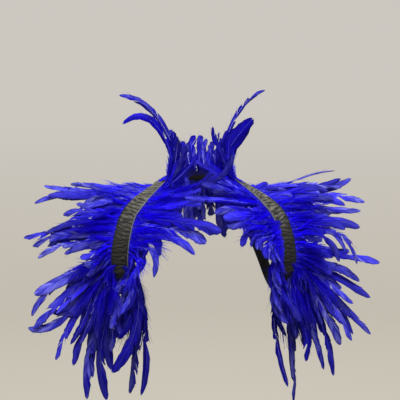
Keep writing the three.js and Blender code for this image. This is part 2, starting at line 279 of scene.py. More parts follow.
# The ways that feathers look, as out, fore and up
NAPE_FACE = (0, -0.95, 0.3)
COLLAR_FACE = (0.4, 0.85, 0.3)
BACK_FACE = (0.1, -0.9, 0.4)
TOP_FACE = (0.1, 0.75, 0.65)
FRONT_FACE = (0.25, 0.9, 0.3)


def unit(vectors: np.ndarray) -> np.ndarray:
    """Scales vectors to length 1."""
    return vectors / np.maximum(np.linalg.norm(vectors, axis=-1, keepdims=True), 1e-12)


def mix(first: Any, second: Any, share: Any) -> Any:
    """Goes from the first value to the second by a share."""
    return first + (second - first) * share


def ease(value: Any, low: float, high: float) -> np.ndarray:
    """Smooth step: 0 up to low, 1 from high, and 3t^2 - 2t^3 between them."""
    t = np.clip((np.asarray(value) - low) / (high - low), 0, 1)
    return t * t * (3 - 2 * t)


def place(out: Any, fore: Any, up: Any, side: Side) -> np.ndarray:
    """Puts a point that is given as out, fore and up on one of the wearer's sides."""
    axes = np.broadcast_arrays(side.value * np.asarray(out), -np.asarray(fore), np.asarray(up))
    return np.stack(axes, axis=-1)


def place_rows(rows: np.ndarray, side: Side, prefix: str = "") -> np.ndarray:
    """Puts the out, fore and up columns of a table on one of the wearer's sides."""
    return place(rows[prefix + "out"], rows[prefix + "fore"], rows[prefix + "up"], side)


def on_map(u: Any, v: Any) -> np.ndarray:
    """Joins places across and up a map."""
    return np.stack(np.broadcast_arrays(u, v), axis=-1)


def by_feather(values: np.ndarray, axes: int) -> np.ndarray:
    """Adds axes of length 1 after the first, so that what each feather has fits all its points."""
    return values.reshape(values.shape[:1] + (1,) * axes + values.shape[1:])


@dataclass(frozen=True)
class SmoothLine:
    """A uniform Catmull-Rom line through points, with tension 0.5."""

    points: np.ndarray
    fine_steps: int = 3200

    def at(self, places: np.ndarray) -> tuple[np.ndarray, np.ndarray]:
        """Works out points and slopes: cubic Hermite pieces whose pulls are half of next minus previous.

        Args:
            places: Places along the line, counted in points from 0.

        Returns:
            The points and the unit tangents.
        """
        ends = 2 * self.points[[0, -1]] - self.points[[1, -2]]
        padded = np.concatenate([ends[:1], self.points, ends[1:]])
        first = np.clip(np.floor(places).astype(int), 0, len(self.points) - 2)
        t = (places - first)[..., None]
        before, start, end, after = (padded[first + i] for i in range(4))
        pull_start = 0.5 * (end - before)
        pull_end = 0.5 * (after - start)
        point = mix(start, end, 3 * t**2 - 2 * t**3)
        point = point + (t**3 - 2 * t**2 + t) * pull_start + (t**3 - t**2) * pull_end
        slope = 6 * (t - t**2) * (end - start)
        slope = slope + (3 * t**2 - 4 * t + 1) * pull_start + (3 * t**2 - 2 * t) * pull_end
        return point, unit(slope)

    def even(self, count: int) -> tuple[np.ndarray, float]:
        """Finds places at even distances along the line.

        Args:
            count: How many places.

        Returns:
            The places and the line's length.
        """
        fine = np.linspace(0, len(self.points) - 1, self.fine_steps + 1)
        steps = np.linalg.norm(np.diff(self.at(fine)[0], axis=0), axis=-1)
        travelled = np.concatenate([[0], np.cumsum(steps)])
        length = float(travelled[-1])
        return np.interp(np.linspace(0, length, count), travelled, fine), length


@dataclass(frozen=True)
class Frames:
    """Points with three unit directions each: along a line, across it, and out of its face."""

    point: np.ndarray
    along: np.ndarray
    across: np.ndarray
    face: np.ndarray

    @classmethod
    def make(cls, point: np.ndarray, along: np.ndarray, looks: np.ndarray) -> "Frames":
        """Squares the way that a face looks with the line; across is face x along."""
        face = unit(looks - np.sum(looks * along, axis=-1, keepdims=True) * along)
        return cls(point, along, np.cross(face, along), face)

    def offset(self, across: Any, level: Any) -> np.ndarray:
        """Moves the points across the line and out of its face."""
        sideways = self.across * np.asarray(across)[..., None]
        return self.point + sideways + self.face * np.asarray(level)[..., None]

    def swept(self, across: np.ndarray, level: np.ndarray) -> np.ndarray:
        """Carries a section along the line: at each frame the same ring of points, or a row of its own."""
        rows = (values[:, None] for values in (self.point, self.along, self.across, self.face))
        return Frames(*rows).offset(across, level)


def mirrored(half: np.ndarray) -> SmoothLine:
    """Runs one line through a half's points and their mirror images."""
    return SmoothLine(np.concatenate([half[:0:-1] * [-1, 1, 1], half]))


YOKE_POINTS = mirrored(place_rows(YOKE_LINE, Side.LEFT))
YOKE_FACES = mirrored(place_rows(YOKE_LINE, Side.LEFT, "face_"))
STATIONS = len(YOKE_LINE) - 1


def yoke_frames(stations: Any) -> Frames:
    """Gives frames on the yoke.

    Args:
        stations: Places counted in the line's points: 0 is the nape and positive the wearer's left.

    Returns:
        The frames, whose across points to the yoke's outer edge.
    """
    places = np.asarray(stations, dtype=float) + STATIONS
    point, along = YOKE_POINTS.at(places)
    return Frames.make(point, along, YOKE_FACES.at(places)[0])


@dataclass
class MeshParts:
    """Closed shapes that are joined into one mesh, with maps and named values at their points."""

    names: tuple[str, ...]
    points: list[np.ndarray] = field(default_factory=list)
    faces: list[np.ndarray] = field(default_factory=list)
    slots: list[int] = field(default_factory=list)
    maps: list[np.ndarray] = field(default_factory=list)
    threads: list[np.ndarray] = field(default_factory=list)
    values: list[dict[str, np.ndarray]] = field(default_factory=list)
    count: int = 0
    sharp_degrees: float = 50.0

    def add(
        self,
        points: np.ndarray,
        faces: list[np.ndarray],
        uv: np.ndarray,
        values: dict[str, Any],
        threads: Any = 0.0,
        slot: int = 0,
    ) -> None:
        """Adds one shape, or many alike.

        Args:
            points: Points in millimetres, as rows.
            faces: Arrays of point numbers, each with faces of one size as rows.
            uv: The points' places on the map, in the same order, with any number of axes before the last.
            values: The points' named values: numbers, or arrays that fit those axes.
            threads: The points' places on woven cloth in millimetres, where the weave shows.
            slot: The material slot.
        """
        self.faces += [corners + self.count for corners in faces]
        self.slots += [slot] * len(faces)
        self.points.append(points)
        self.maps.append(uv.reshape(-1, 2))
        self.threads.append(np.broadcast_to(threads, uv.shape).reshape(-1, 2) * MM)
        fitted = {name: np.broadcast_to(values.get(name, 0.0), uv.shape[:-1]) for name in self.names}
        self.values.append({name: value.ravel() for name, value in fitted.items()})
        self.count += len(points)

    def to_object(self, name: str, materials: list[bpy.types.Material]) -> bpy.types.Object:
        """Makes the mesh and its object, at the origin and in metres.

        Args:
            name: The object's name.
            materials: The materials, in the order of the slots.

        Returns:
            The object.
        """
        corners = np.concatenate([f.ravel() for f in self.faces]).astype(np.int32)
        sizes = np.concatenate([np.full(len(f), f.shape[1]) for f in self.faces])
        starts = np.concatenate([[0], np.cumsum(sizes)[:-1]]).astype(np.int32)
        slots = np.repeat(self.slots, [len(f) for f in self.faces]).astype(np.int32)
        mesh = bpy.data.meshes.new(name)
        mesh.vertices.add(self.count)
        mesh.vertices.foreach_set("co", (np.concatenate(self.points) * MM).astype(np.float32).ravel())
        mesh.loops.add(len(corners))
        mesh.loops.foreach_set("vertex_index", corners)
        mesh.polygons.add(len(sizes))
        mesh.polygons.foreach_set("loop_start", starts)
        mesh.polygons.foreach_set("material_index", slots)
        mesh.polygons.foreach_set("use_smooth", np.ones(len(sizes), dtype=bool))
        mesh.update(calc_edges=True)
        for map_name, spots in ((UV_MAP, self.maps), (THREAD_MAP, self.threads)):
            whole = np.concatenate(spots)[corners].astype(np.float32)
            mesh.uv_layers.new(name=map_name).data.foreach_set("uv", whole.ravel())
        for key in self.names:
            whole = np.concatenate([part[key] for part in self.values]).astype(np.float32)
            mesh.attributes.new(key, "FLOAT", "POINT").data.foreach_set("value", whole)
        for material in materials:
            mesh.materials.append(material)
        mesh.validate()
        mesh.set_sharp_from_angle(angle=math.radians(self.sharp_degrees))
        piece = bpy.data.objects.new(name, mesh)
        bpy.context.scene.collection.objects.link(piece)
        return piece


def lofted(rings: np.ndarray) -> tuple[np.ndarray, list[np.ndarray]]:
    """Closes rings of points into a tube with flat ends.

    Args:
        rings: Points as sections by ring by 3, anticlockwise as seen from the last section.

    Returns:
        The points as rows and the faces.
    """
    sections, ring = rings.shape[:2]
    number = np.arange(sections * ring).reshape(sections, ring)
    near, far = number[:-1], number[1:]
    sides = np.stack([near, np.roll(near, -1, 1), np.roll(far, -1, 1), far], axis=-1).reshape(-1, 4)
    return rings.reshape(-1, 3), [sides, number[:1, ::-1], number[-1:]]


def ribbons(
    path: np.ndarray, looks: np.ndarray, half_width: np.ndarray, half_depth: np.ndarray
) -> tuple[np.ndarray, list[np.ndarray]]:
    """Makes many thin closed ribbons: a triangle, flat below and with a ridge on top, carried along a path.

    Args:
        path: Points of the middle lines, as ribbons by sections by 3.
        looks: The ways that the ridges look, of the same shape.
        half_width: Half widths, as ribbons by sections.
        half_depth: Half depths, as ribbons by sections.

    Returns:
        The points as rows, three a section, and the faces.
    """
    along = unit(np.gradient(path, axis=1))
    across = unit(np.cross(looks, along))
    wide = across * half_width[..., None]
    deep = np.cross(along, across) * half_depth[..., None]
    rings = np.stack([path + wide - deep, path + deep, path - wide - deep], axis=2)
    number = np.arange(rings.size // 3).reshape(rings.shape[:3])
    near, far = number[:, :-1], number[:, 1:]
    sides = np.stack([near, np.roll(near, -1, 2), np.roll(far, -1, 2), far], axis=-1).reshape(-1, 4)
    return rings.reshape(-1, 3), [sides, np.concatenate([number[:, 0, ::-1], number[:, -1]])]


# Where a ribbon's three points lie across its own line on the map
RIBBON_RING = np.array([1.0, 0.0, -1.0])
# The fewest and most waves a unit in smooth noise
NOISE_WAVES = (0.55, 1.45)


def waves(rng: np.random.Generator, x: np.ndarray, y: np.ndarray, count: int = 7) -> np.ndarray:
    """Makes smooth noise: a sum of sine waves about one unit long, with random slants and phases.

    Args:
        rng: Random numbers.
        x: Places one way.
        y: Places the other way.
        count: How many waves.

    Returns:
        Heights from about -1 to 1.
    """
    turns = rng.uniform(0, 2 * math.pi, (2, count))
    speed = rng.uniform(*NOISE_WAVES, count) * 2 * math.pi
    total = sum(
        np.sin(v * (x * math.cos(a) + y * math.sin(a)) + p) for v, a, p in zip(speed, turns[0], turns[1])
    )
    return total / math.sqrt(2 * count)


def linear(hex_colour: str) -> tuple[float, float, float, float]:
    """Turns an sRGB colour to a linear one.

    Args:
        hex_colour: The colour as a hash sign and six hex digits.

    Returns:
        Red, green, blue and alpha.
    """
    channels = (int(hex_colour[i : i + 2], 16) / 255 for i in (1, 3, 5))
    red, green, blue = (c / 12.92 if c <= 0.04045 else ((c + 0.055) / 1.055) ** 2.4 for c in channels)
    return red, green, blue, 1.0


def set_inputs(tree: bpy.types.NodeTree, node: bpy.types.Node, inputs: dict[Any, Any]) -> None:
    """Sets a node's sockets.

    Args:
        tree: The node tree.
        node: The node.
        inputs: Values by the socket's name or number; an output socket is linked.
    """
    for key, value in inputs.items():
        if isinstance(value, bpy.types.NodeSocket):
            tree.links.new(value, node.inputs[key])
        else:
            node.inputs[key].default_value = value


def add_node(
    tree: bpy.types.NodeTree, kind: str, inputs: dict[Any, Any] | None = None, **settings: Any
) -> bpy.types.Node:
    """Adds a shader node with its settings and links.

    Args:
        tree: The material's node tree.
        kind: The node's type name, without the word ShaderNode.
        inputs: Values or links for its sockets.
        settings: Values for its own properties.

    Returns:
        The node.
    """
    node = tree.nodes.new("ShaderNode" + kind)
    for key, value in settings.items():
        setattr(node, key, value)
    set_inputs(tree, node, inputs or {})
    return node


# The sockets of a colour Mix node: its share, its two colours and its result
MIX_SHARE, MIX_FIRST, MIX_SECOND, MIX_RESULT = 0, 6, 7, 2
# The bands a unit that a wave texture draws at scale 1
WAVE_BANDS = 10 / math.pi


def new_material(name: str) -> tuple[bpy.types.Material, bpy.types.NodeTree, bpy.types.Node]:
    """Makes a material.

    Args:
        name: Its name.

    Returns:
        The material, its node tree and its Principled shader.
    """
    material = bpy.data.materials.new(name)
    material.use_nodes = True
    return material, material.node_tree, material.node_tree.nodes["Principled BSDF"]


@dataclass(frozen=True)
class DyedFeather:
    """Rooster tail feather, dyed royal blue in the piece.

    The dye is deepest in the down and by the root; towards the tip the colour turns paler, as painted sheen
    on the lit outer blades. The webs of the blade are even, with a soft gloss where the barbs lie flat, and
    carry painted sheen streaks in the quill's pale colour. The quill takes less dye and shows as a paler
    line, and painted shade darkens the grooves between barbs and the blade's edges. Barbs are drawn coarser
    than
    real ones so that they show: barbs is how many lines cross a feather from root to tip.
    """

    root: str = "#1a00ff"
    blade: str = "#1c06f4"
    blade_place: float = 0.45
    # The tip colour is painted sheen: lit outer blades turn paler towards their tips
    tip: str = "#4644e0"
    # The pale quill colour, also laid on the webs as painted sheen streaks
    quill: str = "#a4a8ff"
    dark: float = 0.08
    light: float = 1.45
    barbs: float = 90.0
    barb_bend: float = 1.2
    line: float = 0.55
    bump: float = 0.35
    barb_depth_mm: float = 0.2
    smooth_roughness: float = 0.45
    loose_roughness: float = 0.6
    specular: float = 0.05

    def build(self) -> bpy.types.Material:
        """Makes the material: a ramp into painted sheen, dimmed by feather and barb, and the quill over it.

        Returns:
            The material.
        """
        material, tree, shader = new_material("dyed_rooster_feather")
        along, tone, strand, quill = (
            add_node(tree, "Attribute", attribute_name=name).outputs["Fac"] for name in FEATHER_VALUES
        )
        ramp = add_node(tree, "ValToRGB", {"Fac": along})
        ramp.color_ramp.elements[0].color = linear(self.root)
        ramp.color_ramp.elements[1].color = linear(self.tip)
        ramp.color_ramp.elements.new(self.blade_place).color = linear(self.blade)
        both = add_node(tree, "Math", {0: tone, 1: strand}, operation="MULTIPLY").outputs[0]
        dimmed = add_node(tree, "MapRange", {"Value": both, "To Min": self.dark, "To Max": self.light})
        spot = add_node(tree, "UVMap", uv_map=UV_MAP).outputs["UV"]
        scale = self.barbs / WAVE_BANDS
        lines = add_node(
            tree,
            "TexWave",
            {"Vector": spot, "Scale": scale, "Distortion": self.barb_bend, "Detail": 1.0},
            bands_direction="Y",
        ).outputs["Fac"]
        # Painted shade: the barb lines darken the colour in the grooves between barbs
        groove_shade = add_node(tree, "MapRange", {"Value": lines, "To Min": self.line}).outputs[0]
        shade = add_node(tree, "Math", {0: dimmed.outputs[0], 1: groove_shade}, operation="MULTIPLY").outputs[0]
        dyed = add_node(tree, "HueSaturation", {"Value": shade, "Color": ramp.outputs["Color"]})
        coloured = add_node(
            tree,
            "Mix",
            {MIX_SHARE: quill, MIX_FIRST: dyed.outputs["Color"], MIX_SECOND: linear(self.quill)},
            data_type="RGBA",
        ).outputs[MIX_RESULT]
        bump = add_node(
            tree, "Bump", {"Strength": self.bump, "Distance": self.barb_depth_mm * MM, "Height": lines}
        )
        rough = add_node(
            tree,
            "MapRange",
            {"Value": strand, "To Min": self.loose_roughness, "To Max": self.smooth_roughness},
        )
        inputs = {
            "Base Color": coloured,
            "Roughness": rough.outputs[0],
            "Normal": bump.outputs["Normal"],
            "Specular IOR Level": self.specular,
        }
        set_inputs(tree, shader, inputs)
        return material


@dataclass(frozen=True)
class WovenBand:
    """Woven cloth: black satin that is gathered on the yoke, plain black elastic, or dyed cotton tape.

    The weave shows as fine threads, the crests of the gathers and the tops of the elastic's ribs are
    painted greyer as a highlight, and the yoke's hemmed inner edge is painted as a pale line of highlight.
    Threads are drawn coarser than real ones so that they show.
    """

    name: str
    shade: str
    crest: str
    hem_highlight: str
    roughness: float = 0.62
    specular: float = 0.25
    sheen: float = 0.04
    thread_mm: float = 1.1
    thread_bend: float = 0.4
    bump: float = 0.25
    thread_depth_mm: float = 0.3

    def build(self) -> bpy.types.Material:
        """Makes the material: painted highlight on the gathers' crests, two crossed sets of threads as bump.

        Returns:
            The material.
        """
        material, tree, shader = new_material(self.name)
        crest, hem_highlight = (
            add_node(tree, "Attribute", attribute_name=name).outputs["Fac"] for name in CLOTH_VALUES
        )
        spot = add_node(tree, "UVMap", uv_map=THREAD_MAP).outputs["UV"]
        scale = 1 / (WAVE_BANDS * self.thread_mm * MM)
        wave = {"Vector": spot, "Scale": scale, "Distortion": self.thread_bend}
        warp, weft = (
            add_node(tree, "TexWave", wave, bands_direction=way).outputs["Fac"] for way in ("X", "Y")
        )
        weave = add_node(tree, "Math", {0: warp, 1: weft}, operation="MULTIPLY").outputs[0]
        colour = linear(self.shade)
        # Painted highlights: the crest colour on crests and ribs, and a pale line on the hemmed edge
        for share, over in ((crest, self.crest), (hem_highlight, self.hem_highlight)):
            colour = add_node(
                tree,
                "Mix",
                {MIX_SHARE: share, MIX_FIRST: colour, MIX_SECOND: linear(over)},
                data_type="RGBA",
            ).outputs[MIX_RESULT]
        bump = add_node(
            tree, "Bump", {"Strength": self.bump, "Distance": self.thread_depth_mm * MM, "Height": weave}
        )
        inputs = {
            "Base Color": colour,
            "Normal": bump.outputs["Normal"],
            "Roughness": self.roughness,
            "Specular IOR Level": self.specular,
            "Sheen Weight": self.sheen,
        }
        set_inputs(tree, shader, inputs)
        return material


@dataclass(frozen=True)
class PalePaint:
    """Matt wall paint on the studio's floor and cove, warm pale grey, evened out by a faint glow."""

    colour: str = "#504f4b"
    glow_low: str = "#c8c1b4"
    glow_high: str = "#d6d1ca"
    low: float = -0.75
    high: float = 0.6
    glow: float = 0.8
    roughness: float = 0.9

    def build(self) -> bpy.types.Material:
        """Makes the material: the glow rises from the floor to the wall.

        Returns:
            The material.
        """
        material, tree, shader = new_material("pale_wall_paint")
        spot = add_node(tree, "TexCoord").outputs["Object"]
        height = add_node(tree, "SeparateXYZ", {"Vector": spot}).outputs["Z"]
        share = add_node(tree, "MapRange", {"Value": height, "From Min": self.low, "From Max": self.high})
        glow = add_node(
            tree,
            "Mix",
            {
                MIX_SHARE: share.outputs[0],
                MIX_FIRST: linear(self.glow_low),
                MIX_SECOND: linear(self.glow_high),
            },
            data_type="RGBA",
        ).outputs[MIX_RESULT]
        inputs = {
            "Emission Color": glow,
            "Base Color": linear(self.colour),
            "Roughness": self.roughness,
            "Emission Strength": self.glow,
        }
        set_inputs(tree, shader, inputs)
        return material


def finish_piece(piece: bpy.types.Object, node: str) -> None:
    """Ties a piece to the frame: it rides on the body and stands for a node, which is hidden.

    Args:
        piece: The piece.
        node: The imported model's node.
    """
    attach(piece, BODY)
    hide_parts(node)
    piece.data.calc_loop_triangles()
    LOG.info("%s: %d triangles", piece.name, len(piece.data.loop_triangles))


# A band's upper face lies in the left half of the map and its underside in the right half
UPPER_COLUMN = 0.25
LOWER_COLUMN = 0.75


@dataclass
class Yoke:
    """The ruched band that lies over both shoulders and round the nape."""

    half_width: float = 14.6
    scallop: float = 0.8
    valley: float = -0.1
    crest: float = 2.3
    edge: float = -0.55
    edge_run: float = 0.34
    underside: float = -1.2
    gather_pitch: float = 9.0
    broad_folds: float = 1.15
    fine_folds: float = 2.1
    sections_per_gather: int = 10
    top_points: int = 25
    edge_crowding: float = 0.35
    under_points: int = 9
    bead_place: float = -0.93
    bead_width: float = 0.045
    bead_height: float = 0.3
    hem_width: float = 0.07
    hem_full: float = 0.6
    end_shade: float = 0.12
    shade_stations: tuple[float, float] = (3.9, 6.4)
    crest_light: tuple[float, float] = (0.2, 0.95)
    map_half_width: float = 0.22
    cut_share: float = 1.33
    seed: int = 11

    def build(self, finish: WovenBand) -> bpy.types.Object:
        """Makes the band.

        The height over its middle surface is a row of rounded crests and sharp valleys, the size of a sine
        along the band, whose phase wanders across it. Finer folds lie over that, all of it dies away at the
        two edges, and a narrow bead runs along the inner one.

        Args:
            finish: The cloth's finish.

        Returns:
            The piece.
        """
        rng = np.random.default_rng(self.seed)
        gathers = round(YOKE_POINTS.even(2)[1] / self.gather_pitch)
        places, length = YOKE_POINTS.even(gathers * self.sections_per_gather + 1)
        x = np.linspace(0, gathers, len(places))[:, None]
        even = np.linspace(1, -1, self.top_points)
        crowded = np.cos(np.linspace(0, math.pi, self.top_points))
        top = mix(even, crowded, self.edge_crowding)[None]
        under = np.linspace(-1, 1, self.under_points + 2)[None, 1:-1]
        fold = self._folds(rng, x, top)
        near_edge = ease(1 - np.abs(top), 0, self.edge_run)
        bead = np.exp(-(((top - self.bead_place) / self.bead_width) ** 2)) * self.bead_height
        over = mix(self.edge, mix(self.valley, self.crest, fold), near_edge) + bead
        below = mix(self.edge, self.underside, 1 - under**2) + 0 * x
        half = self.half_width + self.scallop * np.abs(np.sin(math.pi * x))
        across = np.concatenate([top * half, under * half], axis=1)
        level = np.concatenate([over, below], axis=1)
        # Painted shade dims the painted crest highlight towards the front ends, under the feathers' shade
        shaded = mix(1.0, self.end_shade, ease(np.abs(places - STATIONS), *self.shade_stations))
        lit = ease(fold, *self.crest_light) * near_edge * shaded[:, None]
        by_hem = ease(-top, 1 - self.hem_width, 1 - self.hem_full * self.hem_width)
        values = {
            "crest": np.concatenate([lit, 0 * below], axis=1),
            "hem_highlight": np.concatenate([by_hem, 0 * under], axis=1),
        }
        upper = UPPER_COLUMN + self.map_half_width * top
        lower = LOWER_COLUMN - self.map_half_width * under
        uv = on_map(np.concatenate([upper, lower], axis=1), x / gathers)
        points, faces = lofted(yoke_frames(places - STATIONS).swept(across, level))
        parts = MeshParts(CLOTH_VALUES)
        parts.add(points, faces, uv, values, threads=on_map(across, x * self.gather_pitch))
        piece = parts.to_object("gathered_yoke", [finish.build()])
        finish_piece(piece, "yoke_band")
        return piece

    def _folds(self, rng: np.random.Generator, x: np.ndarray, a: np.ndarray) -> np.ndarray:
        """Works out the heights of the gathers: the size of a sine with a wandering phase, and finer folds.

        Args:
            rng: Random numbers.
            x: Places along the band, in gathers.
            a: Places across it, from -1 to 1.

        Returns:
            Heights from about 0 to 1.
        """
        slant = 0.7 * a * waves(rng, x * 0.12, 0 * a)
        wander = slant + 0.3 * waves(rng, x * 0.4, a * 0.9) + 0.15 * waves(rng, x * 0.9, a * 1.7)
        depth = 0.7 + 0.3 * waves(rng, x * 0.6, a * 0.8)
        broad = np.abs(np.sin(math.pi * (self.broad_folds * x + wander))) ** 0.8 * depth
        fine = np.abs(np.sin(math.pi * (self.fine_folds * x + 1.1 * waves(rng, x * 0.9, a * 1.8))))
        return 0.76 * broad + 0.34 * fine * (0.65 + 0.35 * waves(rng, x * 0.5, a)) - 0.06


@dataclass
class UnderarmStrap:
    """A plain elastic strap from under the yoke's front end, round the arm and up the back to the yoke."""

    side: Side
    half_width: float = 10.0
    half_thickness: float = 0.75
    level: float = -4.75
    section_pitch: float = 5.0
    ribs: int = 9
    rib_depth: float = 0.22
    round_from: float = 0.93
    round_share: float = 0.8
    points_across: int = 37
    map_half_width: float = 0.2

    def build(self, finish: WovenBand) -> bpy.types.Object:
        """Makes the strap: a flat band with lengthwise ribs, rounded off at its two edges.

        Args:
            finish: The elastic's finish.

        Returns:
            The piece.
        """
        front = yoke_frames(self.side.value * UNDERARM_FRONT_STATIONS)
        back = yoke_frames(np.full(len(UNDERARM_BACK), self.side.value * UNDERARM_BACK_STATION))
        middle = [
            front.offset(0.0, self.level),
            place_rows(UNDERARM_LINE, self.side),
            back.offset(UNDERARM_BACK["across"], UNDERARM_BACK["level"]),
        ]
        looks = [front.face, place_rows(UNDERARM_LINE, self.side, "face_"), back.face]
        line = SmoothLine(np.concatenate(middle))
        sections = round(line.even(2)[1] / self.section_pitch)
        places, length = line.even(sections + 1)
        frames = Frames.make(*line.at(places), SmoothLine(np.concatenate(looks)).at(places)[0])
        a = np.linspace(1, -1, self.points_across)
        ridge = 0.5 + 0.5 * np.cos(math.pi * (self.ribs * (a + 1) + 1))
        past = np.clip((np.abs(a) - self.round_from) / (1 - self.round_from), 0, 1)
        round_off = np.sqrt(1 - past**2 * self.round_share)
        thick = (self.half_thickness - self.rib_depth * (1 - ridge)) * round_off
        across = np.concatenate([a, a[::-1]]) * self.half_width
        travel = np.linspace(0, length, sections + 1)[:, None]
        upper = UPPER_COLUMN + self.map_half_width * a
        lower = LOWER_COLUMN - self.map_half_width * a[::-1]
        uv = on_map(np.concatenate([upper, lower]), travel / length)
        points, faces = lofted(frames.swept(across, np.concatenate([thick, -thick[::-1]])))
        # The ribs' tops are painted lighter, as highlight
        crest = np.concatenate([ridge, ridge[::-1]])
        parts = MeshParts(CLOTH_VALUES)
        parts.add(points, faces, uv, {"crest": crest}, threads=on_map(across, travel))
        end = self.side.name.lower()
        piece = parts.to_object(f"elastic_strap_{end}", [finish.build()])
        finish_piece(piece, f"underarm_strap_{end}")
        return piece


@dataclass
class Feathers:
    """Feathers as arrays with one entry each: a straight quill, then a cubic Bezier curve to the tip.

    twist turns the blade about its quill, wave and phase sway the quill, hook bends its end to one side, tone
    is how light the dye is at random times the painted shade on the feather, pale how far the painted sheen
    pales it towards the tip, loose how far fine strands stand off, column the middle of the feather's strip
    on the map, and strip half that strip's width.
    """

    root: np.ndarray
    controls: np.ndarray
    root_face: np.ndarray
    blade_face: np.ndarray
    width: np.ndarray
    twist: np.ndarray
    wave: np.ndarray
    phase: np.ndarray
    hook: np.ndarray
    tone: np.ndarray
    pale: np.ndarray
    loose: np.ndarray
    column: np.ndarray
    strip: float
    face_run: float = 0.4
    twist_start: float = 0.15
    sway_run: float = 0.6
    sway_turn: float = 8.0
    hook_start: float = 0.6

    def __len__(self) -> int:
        """Counts the feathers."""
        return len(self.root)

    def lengths(self, steps: int = 24) -> np.ndarray:
        """Measures the curves by straight steps."""
        places = np.broadcast_to(np.linspace(0, 1, steps + 1), (len(self), steps + 1))
        return np.linalg.norm(np.diff(self.at(places).point, axis=1), axis=-1).sum(axis=1)

    def at(self, places: np.ndarray) -> Frames:
        """Works out frames on the curves; past an end the curve runs on straight.

        The face turns from the root's to the blade's over the first stretch of the curve, the blade twists
        about its quill towards the tip, and the quill waves a little to both sides and hooks to one side at
        its end.

        Args:
            places: Places from 0 to 1, with one row, or block, for each feather.

        Returns:
            Frames of the same shape.
        """
        axes = places.ndim - 1
        c = [by_feather(self.controls[:, i], axes) for i in range(4)]
        twist, wave, phase, hook = (
            by_feather(values, axes + 1) for values in (self.twist, self.wave, self.phase, self.hook)
        )
        t = np.clip(places, 0, 1)[..., None]
        w = 1 - t
        slope = 3 * w**2 * (c[1] - c[0]) + 6 * w * t * (c[2] - c[1]) + 3 * t**2 * (c[3] - c[2])
        curve = w**3 * c[0] + 3 * w**2 * t * c[1] + 3 * w * t**2 * c[2] + t**3 * c[3]
        point = curve + slope * (places[..., None] - t)
        turned = ease(t, 0, self.face_run)
        looks = mix(by_feather(self.root_face, axes), by_feather(self.blade_face, axes), turned)
        flat = Frames.make(point, unit(slope), looks)
        sway = wave * ease(t, 0, self.sway_run) * np.sin(self.sway_turn * t + phase)
        end = np.clip((t - self.hook_start) / (1 - self.hook_start), 0, 1)
        point = point + flat.across * (sway + hook * end**2)
        turn = twist * ease(t, self.twist_start, 1.0)
        across = flat.across * np.cos(turn) + flat.face * np.sin(turn)
        face = flat.face * np.cos(turn) - flat.across * np.sin(turn)
        return Frames(point, flat.along, across, face)


# Where a quill ends, just short of the blade's tip, and where quills and webs begin and end up the map
QUILL_END = 0.985
MAP_RISE = (0.01, 0.99)


@dataclass(frozen=True)
class Strands:
    """Fine strands along a feather's quill: down, stray barbs or a loose veil.

    count is how many a feather, run the stretch of the quill that they stand on as shares, lean their angle
    to the quill in degrees, long their length and half_width their thickness in millimetres, and stand how
    far they turn out of the blade's plane, in radians. Feathers shorter than usual_length have shorter ones.
    """

    count: int
    run: tuple[float, float]
    lean: tuple[float, float]
    long: tuple[float, float]
    half_width: float
    stand: float
    usual_length: float = 80.0
    least_fit: float = 0.4
    end_fit: float = 0.7
    flat_stand: float = 0.3
    curl: float = 0.14
    droop: float = 0.4
    follow: float = 0.2
    root_level: float = 0.3
    depth_share: float = 0.6
    taper: tuple[float, float, float] = (0.9, 1.0, 0.35)
    ridge_lean: float = 0.3
    tones: tuple[float, float] = (0.6, 1.0)
    strip_run: tuple[float, float] = (0.1, 0.9)
    map_rise: tuple[float, float] = (0.02, 0.97)
    map_half_width: float = 0.1

    def add(self, parts: MeshParts, feathers: Feathers, rng: np.random.Generator) -> None:
        """Adds the strands: each leaves the quill at its lean, droops with the blade and curls a little.

        Args:
            parts: The mesh to add to.
            feathers: The feathers.
            rng: Random numbers.
        """
        shape = (len(feathers), self.count)
        share = (np.arange(self.count) + rng.uniform(0, 1, shape)) / self.count
        places = mix(*self.run, share)
        frames = feathers.at(places)
        hand = rng.choice([-1.0, 1.0], shape)[..., None]
        loose = mix(self.flat_stand, 1.0, feathers.loose)
        stand = (rng.uniform(-self.stand, self.stand, shape) * loose[:, None])[..., None]
        lean = np.radians(rng.uniform(*self.lean, shape))[..., None]
        outward = hand * frames.across * np.cos(stand) + frames.face * np.sin(stand)
        way = frames.along * np.cos(lean) + outward * np.sin(lean)
        fit = np.clip(feathers.lengths() / self.usual_length, self.least_fit, 1)[:, None]
        fit = fit * mix(self.end_fit, 1.0, np.sin(math.pi * share))
        long = (rng.uniform(*self.long, shape) * fit)[..., None]
        curl = unit(rng.normal(0, 1, shape + (3,))) * self.curl * self.stand
        sideways = long * np.sin(lean) * np.cos(stand)
        droop = self.droop * sideways**2 / by_feather(feathers.width, 2) / long
        bend = curl + self.follow * frames.along - droop * frames.face
        u = np.array([0.0, 0.5, 1.0])[:, None]
        start = frames.point + self.root_level * frames.face
        path = start[:, :, None] + long[:, :, None] * (way[:, :, None] * u + bend[:, :, None] * u**2)
        ridge = frames.face + self.ridge_lean * frames.along
        looks = np.broadcast_to(ridge[:, :, None], path.shape)
        flat = (len(feathers) * self.count, len(u))
        wide = np.broadcast_to(np.array(self.taper) * self.half_width, flat)
        points, faces = ribbons(
            path.reshape(*flat, 3), looks.reshape(*flat, 3), wide, self.depth_share * wide
        )
        across = feathers.strip * hand[..., None] * mix(*self.strip_run, u)
        middle = mix(*self.map_rise, np.clip(places, 0, 1))[..., None, None]
        upright = middle + RIBBON_RING * self.map_half_width / self.count
        uv = on_map(by_feather(feathers.column, 3) + across, upright)
        values = {
            "along": places[..., None, None],
            "tone": by_feather(feathers.tone, 3),
            "strand": rng.uniform(*self.tones, shape)[..., None, None],
        }
        parts.add(points, faces, uv, values)


